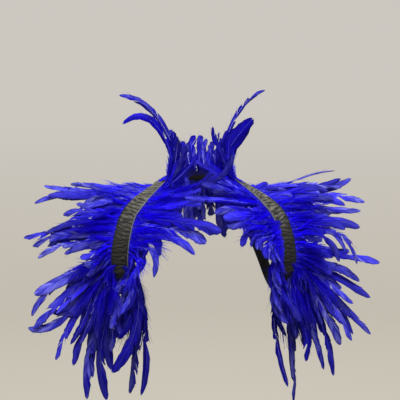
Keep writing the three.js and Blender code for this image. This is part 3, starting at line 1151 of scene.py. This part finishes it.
@dataclass(frozen=True)
class Layer:
    """A run of feathers over a sewn row, set between its main ones.

    count is how many, follow the share that keeps to the main ones (the others are even along the tape),
    reach their length as a share of the main ones', ahead how far in front of them the tips are, loft how far
    their middles bulge forward, scatter how far the tips stray, width their width as a share, root the width
    at the root as a share of that, bare the share of the quill below the web, patches the pieces of web on
    each side of it, and strands the fine strands along it. twist is how far the blades twist in radians, dim
    the share of their lightness, below 1 as painted shade deep in the mass, span the stretch of the tape that
    the even ones stand on, if not the whole of it, and lift how far their roots are over the tape: enough and
    they spill over the yoke's edge.
    """

    count: int
    follow: float
    reach: tuple[float, float]
    ahead: float
    loft: float
    scatter: float
    width: float
    root: float
    bare: float
    patches: int
    strands: tuple[Strands, ...]
    twist: float = 0.5
    shade_dim: float = 1.0
    span: tuple[float, float] | None = None
    lift: float = 0.0


@dataclass(frozen=True)
class Quills:
    """The quills: ribbons with a high ridge from the root to the tip that thin out evenly.

    A share of them, pale_share, took little dye and shows as pale lines, and the others hardly show.
    """

    sections: int = 11
    root_half: float = 1.0
    tip_half: float = 0.26
    thinning: float = 0.8
    usual_width: float = 15.0
    fixed_share: float = 0.6
    level: float = 0.15
    depth_share: float = 0.75
    map_half_width: float = 0.05
    light: float = 0.8
    pale_share: float = 0.35
    other_pale: float = 0.2
    least_pale: float = 0.05
    most_pale: float = 0.8
    pale_start: tuple[float, float] = (0.05, 0.35)
    pale_fall: float = 0.6

    def add(self, parts: MeshParts, feathers: Feathers, layer: Layer, rng: np.random.Generator) -> None:
        """Adds the quills of a layer.

        Args:
            parts: The mesh to add to.
            feathers: The feathers.
            layer: Their layer.
            rng: Random numbers.
        """
        places = np.linspace(0, QUILL_END, self.sections - 1)
        frames = feathers.at(np.broadcast_to(places, (len(feathers), len(places))))
        path = np.concatenate([feathers.root[:, None], frames.point], axis=1)
        looks = np.concatenate([feathers.root_face[:, None], frames.face], axis=1)
        along = np.concatenate([[0], places])
        size = mix(feathers.width[:, None] / self.usual_width, 1.0, self.fixed_share)
        half = mix(self.root_half, self.tip_half, along**self.thinning) * size
        points, faces = ribbons(path + looks * self.level, looks, half, self.depth_share * half)
        pale = np.where(rng.uniform(0, 1, len(feathers)) > 1 - self.pale_share, 1.0, self.other_pale)
        pale = pale * min(1, layer.patches)
        line = ease(along, *self.pale_start) * (1 - self.pale_fall * along)
        along = along[:, None]
        across = by_feather(feathers.column, 2) + RIBBON_RING * self.map_half_width * feathers.strip
        values = {
            "along": along * by_feather(feathers.pale, 2),
            "tone": by_feather(feathers.tone, 2),
            "strand": self.light,
            "quill": self.least_pale + self.most_pale * by_feather(pale, 2) * line[:, None],
        }
        parts.add(points, faces, on_map(across, mix(*MAP_RISE, along)), values)


# Places along a barb from the quill to its tip, how light it is there, darkest at the blade's edge as
# painted shade, and how far painted sheen streaks show
BARB = table("place light shine", [(0.0, 0.9, 0.5), (0.4, 1.0, 1.0), (0.76, 0.85, 0.8), (1.0, 0.3, 0.2)])


@dataclass(frozen=True)
class Webs:
    """The blades: patches of web on both sides of each quill, with splits where neighbours draw apart.

    Every row of a patch follows a barb. A barb's tip lies on the blade's outline, and its base lies back
    along the quill by half the blade's width over the tangent of the barb's slant. It leaves the quill
    steeply and bends on towards the feather's tip.
    """

    rows: int = 8
    half_thickness: float = 0.14
    tip_thickness: float = 0.5
    strip_run: tuple[float, float] = (0.08, 0.94)
    broadest: float = 0.62
    least_width: float = 0.07
    cuts: tuple[float, float] = (0.1, 0.8)
    split: float = 0.11
    crowding: float = 1.35
    root_slant: float = 42.0
    tip_slant: float = 20.0
    ragged: float = 0.08
    lift: float = 0.5
    lift_power: float = 1.5
    droop: float = 0.2
    barb_bend: float = 0.18
    barb_bow: float = 0.12
    patch_tones: tuple[float, float] = (0.65, 1.0)
    barb_tones: tuple[float, float] = (0.4, 1.0)
    sheen_streak: float = 0.5

    def add(self, parts: MeshParts, feathers: Feathers, layer: Layer, rng: np.random.Generator) -> None:
        """Adds the blades of a layer, as arrays of feathers by sides by patches by rows by places on a barb.

        Args:
            parts: The mesh to add to.
            feathers: The feathers.
            layer: Their layer.
            rng: Random numbers.
        """
        count, patches = len(feathers), layer.patches
        cuts = np.zeros((count, 2, patches + 1))
        cuts[..., 1:-1] = np.sort(rng.uniform(*self.cuts, (count, 2, patches - 1)), axis=-1)
        cuts[..., -1] = 1.0
        split = self.split * rng.uniform(0, 1, cuts.shape) ** 3 * (cuts * (1 - cuts) > 0)
        r = np.linspace(0, 1, self.rows)
        share = cuts[..., :-1, None] + np.diff(cuts)[..., None] * r
        shape = share.shape
        hand = np.array([1.0, -1.0])[:, None, None]
        tips = mix(layer.bare, 1.0, 1 - (1 - share) ** self.crowding)
        slant = np.radians(mix(self.root_slant, self.tip_slant, share))
        ragged = 1 + rng.normal(0, self.ragged, shape) + rng.normal(0, self.ragged, shape[:3])[..., None]
        half = 0.5 * by_feather(feathers.width, 3) * self._width_share(tips, layer.root) * ragged
        back = half / np.tan(slant) / by_feather(feathers.lengths(), 3)
        base = np.clip(tips - back, min(0.0, layer.bare), QUILL_END)
        tips = tips + split[..., :-1, None] * (1 - r) ** 3 - split[..., 1:, None] * r**3
        lift = rng.normal(0, self.lift, shape[:3])[..., None, None]
        u = BARB["place"]
        reach = (1 - self.barb_bend) * u + self.barb_bend * u**2
        places = base[..., None] + (tips - base)[..., None] * reach
        sideways = (hand * half)[..., None] * ((1 + self.barb_bow) * u - self.barb_bow * u**2)
        droop = lift * u**self.lift_power - self.droop * half[..., None] * u**2
        frames = feathers.at(places)
        middle = frames.offset(sideways, droop)
        thick = frames.face * (self.half_thickness * mix(1.0, self.tip_thickness, u))[:, None]
        points = np.stack([middle + thick, middle - thick], axis=3)
        first = np.arange(count * 2 * patches).reshape(count, 2, patches, 1, 1) * (2 * self.rows * len(u))
        corners = first + patch_faces(self.rows, len(u))
        faces = np.concatenate([corners[:, 0], corners[:, 1, ..., ::-1]], axis=1).reshape(-1, 4)
        strip = feathers.strip * hand[..., None] * mix(*self.strip_run, u)
        across = by_feather(feathers.column, 4) + strip
        uv = on_map(across, mix(*MAP_RISE, share[..., None]))
        # Barbs darken at their tips, painted shade on the blade's edge, and carry painted sheen streaks
        light = rng.uniform(*self.patch_tones, shape[:3])[..., None] * rng.uniform(*self.barb_tones, shape)
        sheen_streak = rng.uniform(0, 1, (count, 1, 1, 1)) ** 2 * rng.uniform(0, 1, shape) ** 2
        pale = by_feather(feathers.pale, 4)
        values = {
            "along": places * pale,
            "tone": by_feather(feathers.tone, 4),
            "strand": light[..., None] * BARB["light"],
            "quill": self.sheen_streak * pale * sheen_streak[..., None] * BARB["shine"],
        }
        both_faces = np.broadcast_to(uv[:, :, :, None], points.shape[:-1] + (2,))
        layered = {name: value[:, :, :, None] for name, value in values.items()}
        parts.add(points.reshape(-1, 3), [faces], both_faces, layered)

    def _width_share(self, places: np.ndarray, root: float) -> np.ndarray:
        """Works out the blade's width: narrow root, broad blade and a tip rounded by a fourth power.

        Args:
            places: Places along the feather.
            root: The share at the root.

        Returns:
            Shares of the full width.
        """
        rise = mix(root, 1.0, ease(places, 0, self.broadest))
        fall = np.clip((places - self.broadest) / (1 - self.broadest), 0, 1)
        return np.maximum(self.least_width, rise * np.sqrt(1 - fall**4))


def patch_faces(rows: int, columns: int) -> np.ndarray:
    """Closes a thin patch: an upper grid of points, a lower grid under it, and four narrow sides.

    Args:
        rows: Rows of points along the quill.
        columns: Points across each row.

    Returns:
        The faces, four corners each, outwards for a patch on the left of its quill.
    """
    top = np.arange(rows * columns).reshape(rows, columns)
    low = top + rows * columns
    over = np.stack([top[:-1, :-1], top[1:, :-1], top[1:, 1:], top[:-1, 1:]], axis=-1).reshape(-1, 4)
    under = np.stack([low[:-1, :-1], low[:-1, 1:], low[1:, 1:], low[1:, :-1]], axis=-1).reshape(-1, 4)
    rim = np.concatenate([top[:, 0], top[-1, 1:], top[-2::-1, -1], top[0, -2:0:-1]])
    floor = rim + rows * columns
    sides = np.stack([np.roll(rim, -1), rim, floor, np.roll(floor, -1)], axis=-1)
    return np.concatenate([over, under, sides])


@dataclass(frozen=True)
class PaintedFeatherShade:
    """Painted shade over the cape, and how far painted sheen pales the tips.

    Feathers are painted darker, as shade, by the yoke's front ends, where their tips are low, and where
    these are high, as on the collar. The first two count fully below the yoke and a quarter as much out over
    the arms. Low and high tips, in that shade, take less of the painted sheen, and so do those of the inner
    edge. Pairs say where each begins and is full.
    """

    front_stations: tuple[float, float] = (6.4, 7.7)
    front_shade: float = 0.38
    low_tips: tuple[float, float] = (200, 320)
    low_shade: float = 0.4
    low_fade: float = 0.6
    high_tips: tuple[float, float] = (20, 70)
    high_shade: float = 0.42
    high_fade: float = 0.5
    over_arm: tuple[float, float] = (200, 280)
    arm_light: float = 0.75
    inner_pale: float = 0.75

    def _hidden(self, tips: np.ndarray) -> np.ndarray:
        """Gives how far front ends and low tips are shaded: fully below the yoke, less over the arms."""
        return 1 - self.arm_light * ease(np.abs(tips[:, 0]), *self.over_arm)

    def light(self, stations: np.ndarray, tips: np.ndarray) -> np.ndarray:
        """Works out the painted shade on feathers: 1 less a share for each place of shade.

        Args:
            stations: The roots' stations.
            tips: The tips.

        Returns:
            Shares of the full light.
        """
        by_front = self.front_shade * ease(stations, *self.front_stations)
        low = self.low_shade * ease(-tips[:, 2], *self.low_tips)
        high = self.high_shade * ease(tips[:, 2], *self.high_tips)
        return 1 - (by_front + low) * self._hidden(tips) - high

    def pale(self, tips: np.ndarray, edge: Edge) -> np.ndarray:
        """Works out how far painted sheen pales the tips: 1 less a share for low and for high tips, in shade.

        Args:
            tips: The tips.
            edge: The yoke's edge that the feathers stand on.

        Returns:
            Shares of the full fading.
        """
        low = self.low_fade * self._hidden(tips) * ease(-tips[:, 2], *self.low_tips)
        high = self.high_fade * ease(tips[:, 2], *self.high_tips)
        return (self.inner_pale if edge is Edge.INNER else 1.0) * (1 - low - high)


DOWN = Strands(count=26, run=(-0.04, 0.36), lean=(28, 68), long=(8, 18), half_width=0.34, stand=1.4)
STRAY = Strands(count=20, run=(0.12, 0.9), lean=(14, 26), long=(12, 24), half_width=0.26, stand=0.1)
VEIL = Strands(count=85, run=(0.0, 0.75), lean=(5, 22), long=(20, 44), half_width=0.32, stand=0.6)
FLUFF = Strands(count=50, run=(-0.15, 0.8), lean=(14, 48), long=(6, 13), half_width=0.34, stand=0.9)
MAIN = Layer(
    count=0,
    follow=1.0,
    reach=(1.0, 1.0),
    ahead=0.0,
    loft=0.0,
    scatter=0.0,
    width=1.0,
    root=0.3,
    bare=0.16,
    patches=4,
    strands=(DOWN, STRAY),
    twist=0.18,
)
# Layers between the main feathers: a bed of short blades and longer blades behind, a loose veil in front,
# downy tufts by the yoke, and tufts that spill over its edge
BED = Layer(
    count=30,
    follow=0.0,
    reach=(0.2, 0.4),
    ahead=-6.0,
    loft=-2.0,
    scatter=4.0,
    width=1.15,
    root=1.0,
    bare=-0.18,
    patches=1,
    strands=(),
    # Painted shade: the bed's blades are darkened to lie as shade deep in the mass
    shade_dim=0.55,
)
UNDER = Layer(
    count=54,
    follow=1.0,
    reach=(0.52, 0.88),
    ahead=-9.0,
    loft=-4.0,
    scatter=6.0,
    width=0.95,
    root=0.85,
    bare=0.02,
    patches=2,
    strands=(replace(DOWN, count=8), replace(STRAY, count=10)),
)
VEILS = Layer(
    count=30,
    follow=0.9,
    reach=(0.34, 0.66),
    ahead=3.0,
    loft=4.0,
    scatter=6.0,
    width=0.8,
    root=0.5,
    bare=0.12,
    patches=0,
    strands=(VEIL,),
)
TUFTS = Layer(
    count=34,
    follow=0.0,
    reach=(0.16, 0.34),
    ahead=0.0,
    loft=2.0,
    scatter=4.0,
    width=0.8,
    root=0.8,
    bare=0.05,
    patches=0,
    strands=(FLUFF,),
)
SPILL = replace(
    TUFTS, count=34, strands=(replace(FLUFF, run=(-0.42, 0.7), long=(9, 18)),), span=(5.2, 7.98), lift=5.8
)
# Places across the tape, and its thickness there as a share
TAPE_PLACES = np.array([1.0, 0.9, 0.3, -0.3, -0.9, -1.0])
TAPE_SHARES = np.array([0.5, 1.0, 1.0, 1.0, 1.0, 0.5])


@dataclass
class FeatherRow:
    """A sewn row of feathers on its tape, under one edge of the yoke.

    span is the tape's stretch of the yoke in stations, looks the way that feathers look at its start and
    further on, rows the main feathers, layers those between them and tips what these follow, if not the main
    ones. Up to the station flat_until they lie flat.
    """

    name: str
    side: Side
    edge: Edge
    seed: int
    span: tuple[float, float]
    looks: tuple[tuple[float, float, float], tuple[float, float, float]]
    rows: np.ndarray
    layers: list[Layer]
    tips: np.ndarray | None = None
    flat_until: float = 0.0
    spring: float = 0.28
    shade: PaintedFeatherShade = PaintedFeatherShade()
    flat_run: float = 1.2
    tape_inset: float = 10.7
    tape_half_width: float = 4.5
    tape_half_thickness: float = 1.0
    tape_level: float = -2.6
    tape_sections: int = 10
    tape_columns: tuple[float, float] = (0.001, 0.004)
    tape_crest: float = 0.3
    quill_run: float = 6.0
    square_share: float = 0.8
    least_square: float = 0.5
    end_start: float = 7.6
    bend_place: float = 0.66
    bend_pull: float = 1.6
    root_bulge: float = 0.6
    look_run: float = 2.0
    fill_gap: float = 0.42
    fill_share: float = 0.62
    fill_behind: float = 6.0
    thin_width: float = 6.0
    layer_widths: tuple[float, float] = (13, 18)
    width_spread: tuple[float, float] = (0.85, 1.15)
    even_spread: tuple[float, float] = (0.15, 0.85)
    beside_spread: float = 0.15
    least_length: float = 30.0
    most_width: float = 0.3
    sways: tuple[float, float] = (0.5, 2.2)
    low_sway: tuple[float, float] = (230, 330)
    hook: float = 4.0
    hook_length: float = 120.0
    blade_tones: tuple[float, float] = (0.34, 0.88)
    strand_tones: tuple[float, float] = (0.5, 0.88)

    def build(self, feather: bpy.types.Material, tape: bpy.types.Material) -> bpy.types.Object:
        """Makes the row as one mesh: the tape, then for each layer its quills, webs and strands.

        Args:
            feather: The feathers' material.
            tape: The tape's material.

        Returns:
            The piece.
        """
        rng = np.random.default_rng(self.seed)
        parts = MeshParts(FEATHER_VALUES + CLOTH_VALUES)
        self._add_tape(parts)
        main = self._main_rows()
        total = len(main) + sum(layer.count for layer in self.layers)
        before = 0
        for layer in [MAIN, *self.layers]:
            rows = main if layer is MAIN else self._layer_rows(layer, rng)
            columns = (before + 0.5 + np.arange(len(rows))) / total
            feathers = self._feathers(rows, layer, columns, 0.5 / total, rng)
            Quills().add(parts, feathers, layer, rng)
            if layer.patches:
                Webs().add(parts, feathers, layer, rng)
            for strands in layer.strands:
                strands.add(parts, feathers, rng)
            before += len(rows)
        piece = parts.to_object(self.name.replace("feathers", "plumes"), [feather, tape])
        finish_piece(piece, self.name)
        return piece

    def _roots(self, stations: np.ndarray, lift: float = 0.0) -> tuple[Frames, np.ndarray]:
        """Gives the yoke's frames at stations and roots on the tape there, or over it by a lift."""
        frames = yoke_frames(self.side.value * stations)
        return frames, frames.offset(self.edge.value * self.tape_inset, self.tape_level + lift)

    def _faces(self, stations: np.ndarray) -> np.ndarray:
        """Gives the ways that the feathers look at stations."""
        share = ease(stations, self.span[0], self.span[0] + self.look_run)[:, None]
        return mix(*(place(*look, self.side) for look in self.looks), share)

    def _loose(self, stations: np.ndarray) -> np.ndarray:
        """Gives how far layers and strands stand off: little over the top of the shoulder, then fully."""
        return ease(stations, self.flat_until - self.flat_run, self.flat_until)

    def _main_rows(self) -> np.ndarray:
        """Adds a shorter feather behind the main ones in each wide gap, halfway in every column.

        Returns:
            The main feathers' table, then the added ones.
        """
        before, after = self.rows[:-1], self.rows[1:]
        wide = after["station"] - before["station"] > self.fill_gap
        fills = np.zeros(int(wide.sum()), dtype=self.rows.dtype)
        for name in self.rows.dtype.names:
            fills[name] = (before[name][wide] + after[name][wide]) / 2
        root = self._roots(fills["station"])[1]
        tip = mix(place_rows(fills, self.side), root, 1 - self.fill_share)
        tip -= self._faces(fills["station"]) * self.fill_behind
        self._set_tips(fills, tip)
        return np.concatenate([self.rows, fills])

    def _set_tips(self, rows: np.ndarray, tips: np.ndarray) -> None:
        """Writes tips into the out, fore and up columns of a table."""
        rows["out"], rows["fore"], rows["up"] = self.side.value * tips[:, 0], -tips[:, 1], tips[:, 2]

    def _layer_rows(self, layer: Layer, rng: np.random.Generator) -> np.ndarray:
        """Draws a layer's feathers: some beside the main ones, the others even along the tape.

        Args:
            layer: The layer.
            rng: Random numbers.

        Returns:
            The feathers' table.
        """
        guide = self.rows[self.rows["width"] > self.thin_width] if self.tips is None else self.tips
        count = layer.count
        spread = (np.arange(count) + rng.uniform(*self.even_spread, count)) / count
        rows = np.zeros(count, dtype=self.rows.dtype)
        order = np.arange(len(guide))
        first, last = layer.span or guide["station"][[0, -1]]
        even = np.interp(mix(first, last, spread), guide["station"], order)
        beside = np.rint(spread * len(guide) - 0.5) + rng.normal(0, self.beside_spread, count)
        spot = np.where(rng.uniform(0, 1, count) < layer.follow, beside, even)
        for name in self.rows.dtype.names:
            rows[name] = np.interp(spot, order, guide[name])
        width = np.clip(rows["width"], *self.layer_widths) * layer.width
        width = width * rng.uniform(*self.width_spread, count)
        root = self._roots(rows["station"], layer.lift)[1]
        whole = place_rows(rows, self.side) - root
        least = self.least_length / np.linalg.norm(whole, axis=-1)
        tips = root + whole * np.maximum(rng.uniform(*layer.reach, count), least)[:, None]
        tips += self._faces(rows["station"]) * layer.ahead * self._loose(rows["station"])[:, None]
        tips += rng.normal(0, layer.scatter, tips.shape)
        rows["width"] = np.minimum(width, self.most_width * np.linalg.norm(tips - root, axis=-1))
        self._set_tips(rows, tips)
        return rows

    def _feathers(
        self, rows: np.ndarray, layer: Layer, columns: np.ndarray, strip: float, rng: np.random.Generator
    ) -> Feathers:
        """Bends feathers from their roots to their tips.

        The quill leaves the tape between square to the edge and straight at the tip, runs on past the edge,
        and the curve then bends as the table says. Near the band's end it leaves less squarely and hangs.

        Args:
            rows: The feathers' table.
            layer: Their layer.
            columns: The middles of their strips on the map.
            strip: Half a strip's width on the map.
            rng: Random numbers.

        Returns:
            The feathers.
        """
        stations = rows["station"]
        frames, root = self._roots(stations, layer.lift)
        tip = place_rows(rows, self.side)
        away = frames.across * self.edge.value
        square = self.square_share * (1 - ease(stations, self.end_start, STATIONS))[:, None]
        leave = unit(tip - root) + square * away
        leave = unit(leave - np.sum(leave * frames.face, axis=-1, keepdims=True) * frames.face)
        slope = np.maximum(np.sum(leave * away, axis=-1, keepdims=True), self.least_square)
        leaving = root + leave * self.quill_run / slope
        chord = tip - leaving
        reach = np.linalg.norm(chord, axis=-1, keepdims=True)
        blade_face = self._faces(stations)
        bend = place(rows["bend_out"], 0.0, rows["bend_up"], self.side) * self.bend_pull
        bulge = blade_face * layer.loft * self._loose(stations)[:, None]
        controls = [
            leaving,
            leaving + leave * self.spring * reach + self.root_bulge * bulge,
            leaving + self.bend_place * chord + bend * min(1.0, layer.reach[1]) + bulge,
            tip,
        ]
        count = len(rows)
        tones = self.blade_tones if layer.patches else self.strand_tones
        return Feathers(
            root=root,
            controls=np.stack(controls, axis=1),
            root_face=frames.face,
            blade_face=blade_face,
            width=rows["width"],
            twist=rng.uniform(-layer.twist, layer.twist, count),
            wave=rng.uniform(*self.sways, count) * (1 + ease(-tip[:, 2], *self.low_sway)),
            phase=rng.uniform(0, 2 * math.pi, count),
            hook=rng.normal(0, self.hook, count) * np.clip(reach[:, 0] / self.hook_length, 0, 1),
            # A random dye tone times painted shade, from the layer and the cape's shaded places
            tone=rng.uniform(*tones, count) * layer.shade_dim * self.shade.light(stations, tip),
            # How far painted sheen pales the tips, less where they lie in shade
            pale=layer.reach[1] * self.shade.pale(tip, self.edge),
            loose=self._loose(stations),
            column=columns,
            strip=strip,
        )

    def _add_tape(self, parts: MeshParts) -> None:
        """Adds the tape: a thin band with rounded edges under the yoke.

        Args:
            parts: The mesh to add to.
        """
        start, end = self.span
        first, last = sorted((self.side.value * start, self.side.value * end))
        stations = np.linspace(first, last, self.tape_sections * round(end - start) + 1)
        ring = np.concatenate([TAPE_PLACES, TAPE_PLACES[::-1]]) * self.tape_half_width
        thick = np.concatenate([TAPE_SHARES, -TAPE_SHARES[::-1]]) * self.tape_half_thickness
        frames = yoke_frames(stations)
        rings = frames.swept(ring + self.edge.value * self.tape_inset, thick + self.tape_level)
        points, faces = lofted(rings)
        across = np.linspace(*self.tape_columns, len(ring))
        uv = on_map(across, np.linspace(0, 1, len(stations))[:, None])
        parts.add(points, faces, uv, {"crest": self.tape_crest}, slot=1)


def feather_rows() -> list[FeatherRow]:
    """Lists the sewn rows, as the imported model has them.

    Returns:
        The eight rows.
    """
    over_end = replace(SPILL, count=9, reach=(0.12, 0.24), ahead=-4.0, loft=0.0, span=(7.55, 7.98))
    flat_fluff = replace(FLUFF, stand=0.5)
    shoulder = [
        BED,
        UNDER,
        VEILS,
        replace(TUFTS, ahead=-4.0, loft=-1.0, strands=(flat_fluff,)),
        over_end,
    ]
    flat_veil = replace(VEIL, stand=0.4)
    chest = [
        replace(BED, count=40),
        replace(UNDER, count=24, reach=(0.4, 0.75), width=1.1),
        replace(VEILS, count=20, reach=(0.45, 0.85), ahead=0.0, loft=1.0, strands=(flat_veil,)),
        replace(TUFTS, count=24),
    ]
    downy = replace(TUFTS, count=18, reach=(0.6, 1.0), width=0.7, patches=1, span=(5.4, 7.3))
    spilled = {Side.RIGHT: [over_end], Side.LEFT: [downy, SPILL]}
    short_fluff = replace(FLUFF, long=(6, 12))
    back_fluff = replace(FLUFF, run=(-0.8, 0.7))
    collar = [
        replace(BED, count=16, reach=(0.3, 0.6), scatter=2.0),
        replace(UNDER, count=20, reach=(0.6, 1.0), scatter=4.0, width=0.8, follow=0.0),
        replace(VEILS, count=10, reach=(0.5, 0.8), scatter=3.0),
        replace(TUFTS, count=22, reach=(0.25, 0.55), scatter=2.5, strands=(short_fluff,)),
        replace(SPILL, count=18, reach=(0.3, 0.5), span=(2.0, 3.05), strands=(back_fluff,)),
    ]
    back = [
        replace(BED, count=18),
        replace(UNDER, count=20),
        replace(VEILS, count=16),
        replace(TUFTS, count=24, reach=(0.12, 0.24)),
    ]
    # Each side's first number for its rows' seeds, and its main feathers
    tables = {
        Side.RIGHT: (100, SHOULDER_RIGHT, CHEST_RIGHT, COLLAR_RIGHT),
        Side.LEFT: (200, SHOULDER_LEFT, CHEST_LEFT, COLLAR_LEFT),
    }
    rows = []
    for side, (seed, over_arm, breast, neck) in tables.items():
        end = side.name.lower()
        rows += [
            FeatherRow(
                f"shoulder_feathers_{end}",
                side,
                Edge.OUTER,
                seed + 1,
                span=(2.72, 8),
                looks=(TOP_FACE, FRONT_FACE),
                rows=over_arm,
                layers=shoulder,
                flat_until=4.4,
            ),
            FeatherRow(
                f"back_feathers_{end}",
                side,
                Edge.OUTER,
                seed + 2,
                span=(0.02, 2.68),
                looks=(BACK_FACE, TOP_FACE),
                rows=BACK,
                layers=back,
                tips=BACK_TIPS,
            ),
            FeatherRow(
                f"chest_feathers_{end}",
                side,
                Edge.INNER,
                seed + 3,
                span=(3.22, 8),
                looks=(FRONT_FACE, FRONT_FACE),
                rows=breast,
                layers=[*chest, *spilled[side]],
            ),
            FeatherRow(
                f"collar_feathers_{end}",
                side,
                Edge.INNER,
                seed + 40,
                span=(0.02, 3.18),
                looks=(NAPE_FACE, COLLAR_FACE),
                rows=neck,
                layers=collar,
                tips=COLLAR_TIPS,
                spring=0.25,
            ),
        ]
    return rows


@dataclass
class Studio:
    """A round pale floor with a coved wall, soft lights and the camera at the photograph's viewing angle."""

    floor_level: float = -0.75
    floor_radius: float = 3.2
    floor_hole: float = 0.02
    floor_rings: int = 9
    cove_radius: float = 1.2
    cove_steps: int = 12
    round_steps: int = 96
    wall_top: float = 2.4
    lamp_colour: tuple[float, float, float] = (1.0, 0.985, 0.96)
    lamp_target: tuple[float, float, float] = (0, 0, -0.1)
    surround: str = "#f6f4f0"
    surround_strength: float = 0.26
    distance: float = 1.5
    azimuth: float = -6.0
    height: float = -0.0323
    sideways: float = -0.0019
    lens: float = 71.05
    sensor: float = 36.0

    def build(self) -> None:
        """Makes the floor, the lights and the camera."""
        self._floor()
        self._lights()
        self._camera()

    def _floor(self) -> None:
        """Makes the floor and wall: a flat disc that turns up in a quarter circle, turned about Z."""
        turn = np.linspace(0, math.pi / 2, self.cove_steps + 1)[1:]
        flat = np.linspace(self.floor_hole, self.floor_radius, self.floor_rings)
        radius = np.concatenate([flat, self.floor_radius + self.cove_radius * np.sin(turn)])
        height = np.concatenate([0 * flat, self.cove_radius * (1 - np.cos(turn))])
        radius = np.append(radius, radius[-1])[:, None]
        height = np.append(height, self.wall_top - self.floor_level)[:, None] + self.floor_level
        angle = np.linspace(0, 2 * math.pi, self.round_steps + 1)[:-1]
        grid = np.stack(
            np.broadcast_arrays(radius * np.cos(angle), radius * np.sin(angle), height), axis=-1
        )
        number = np.arange(grid.size // 3).reshape(grid.shape[:2])
        near, far = number[:-1], number[1:]
        sides = np.stack([near, far, np.roll(far, -1, 1), np.roll(near, -1, 1)], axis=-1).reshape(-1, 4)
        mesh = bpy.data.meshes.new("studio_floor")
        mesh.from_pydata(grid.reshape(-1, 3).tolist(), [], sides.tolist() + [number[0].tolist()])
        mesh.polygons.foreach_set("use_smooth", np.ones(len(mesh.polygons), dtype=bool))
        mesh.materials.append(PalePaint().build())
        floor = bpy.data.objects.new("studio_floor", mesh)
        bpy.context.scene.collection.objects.link(floor)

    def _lights(self) -> None:
        """Makes a broad soft light from above and in front, two fills and an even surround."""
        lamps = table(
            "x y z size watts",
            [
                (0.25, -1.0, 2.0, 1.2, 112),
                (-1.6, -1.6, 0.6, 1.2, 14),
                (0.0, 1.6, 1.9, 2.0, 30),
            ],
        )
        for number, row in enumerate(lamps):
            data = bpy.data.lights.new(f"soft_light_{number}", "AREA")
            data.size = row["size"]
            data.energy = row["watts"]
            data.color = self.lamp_colour
            lamp = bpy.data.objects.new(data.name, data)
            lamp.location = (row["x"], row["y"], row["z"])
            way = Vector(self.lamp_target) - lamp.location
            lamp.rotation_euler = way.to_track_quat("-Z", "Y").to_euler()
            bpy.context.scene.collection.objects.link(lamp)
        world = bpy.data.worlds.new("even_surround")
        world.use_nodes = True
        inputs = {"Color": linear(self.surround), "Strength": self.surround_strength}
        set_inputs(world.node_tree, world.node_tree.nodes["Background"], inputs)
        bpy.context.scene.world = world
        bpy.context.scene.view_settings.view_transform = "Standard"

    def _camera(self) -> None:
        """Sets the camera level with the chest, a little to the wearer's right, with no depth of field."""
        turn = math.radians(self.azimuth)
        data = bpy.data.cameras.new("camera")
        data.lens = self.lens
        data.sensor_width = self.sensor
        camera = bpy.data.objects.new("camera", data)
        camera.location = (
            math.sin(turn) * self.distance + math.cos(turn) * self.sideways,
            -math.cos(turn) * self.distance + math.sin(turn) * self.sideways,
            self.height,
        )
        camera.rotation_euler = (math.pi / 2, 0, turn)
        bpy.context.scene.collection.objects.link(camera)
        bpy.context.scene.camera = camera


def main() -> None:
    """Builds the cape and the studio."""
    logging.basicConfig(level=logging.INFO, format="%(message)s")
    Studio().build()
    # Colours: the cloth, the painted highlight on crests and ribs, the pale painted highlight on the hem
    Yoke().build(WovenBand("gathered_black_satin", "#0c0c0a", "#5c5a52", "#6c6e76", roughness=0.5))
    elastic = WovenBand("woven_black_elastic", "#0c0c0c", "#1d1d1c", "#1d1d1c")
    for side in Side:
        UnderarmStrap(side).build(elastic)
    feather = DyedFeather().build()
    tape = WovenBand("dyed_cotton_tape", "#0a0560", "#150ba0", "#150ba0").build()
    for row in feather_rows():
        row.build(feather, tape)
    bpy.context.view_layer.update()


if __name__ == "__main__":
    main()
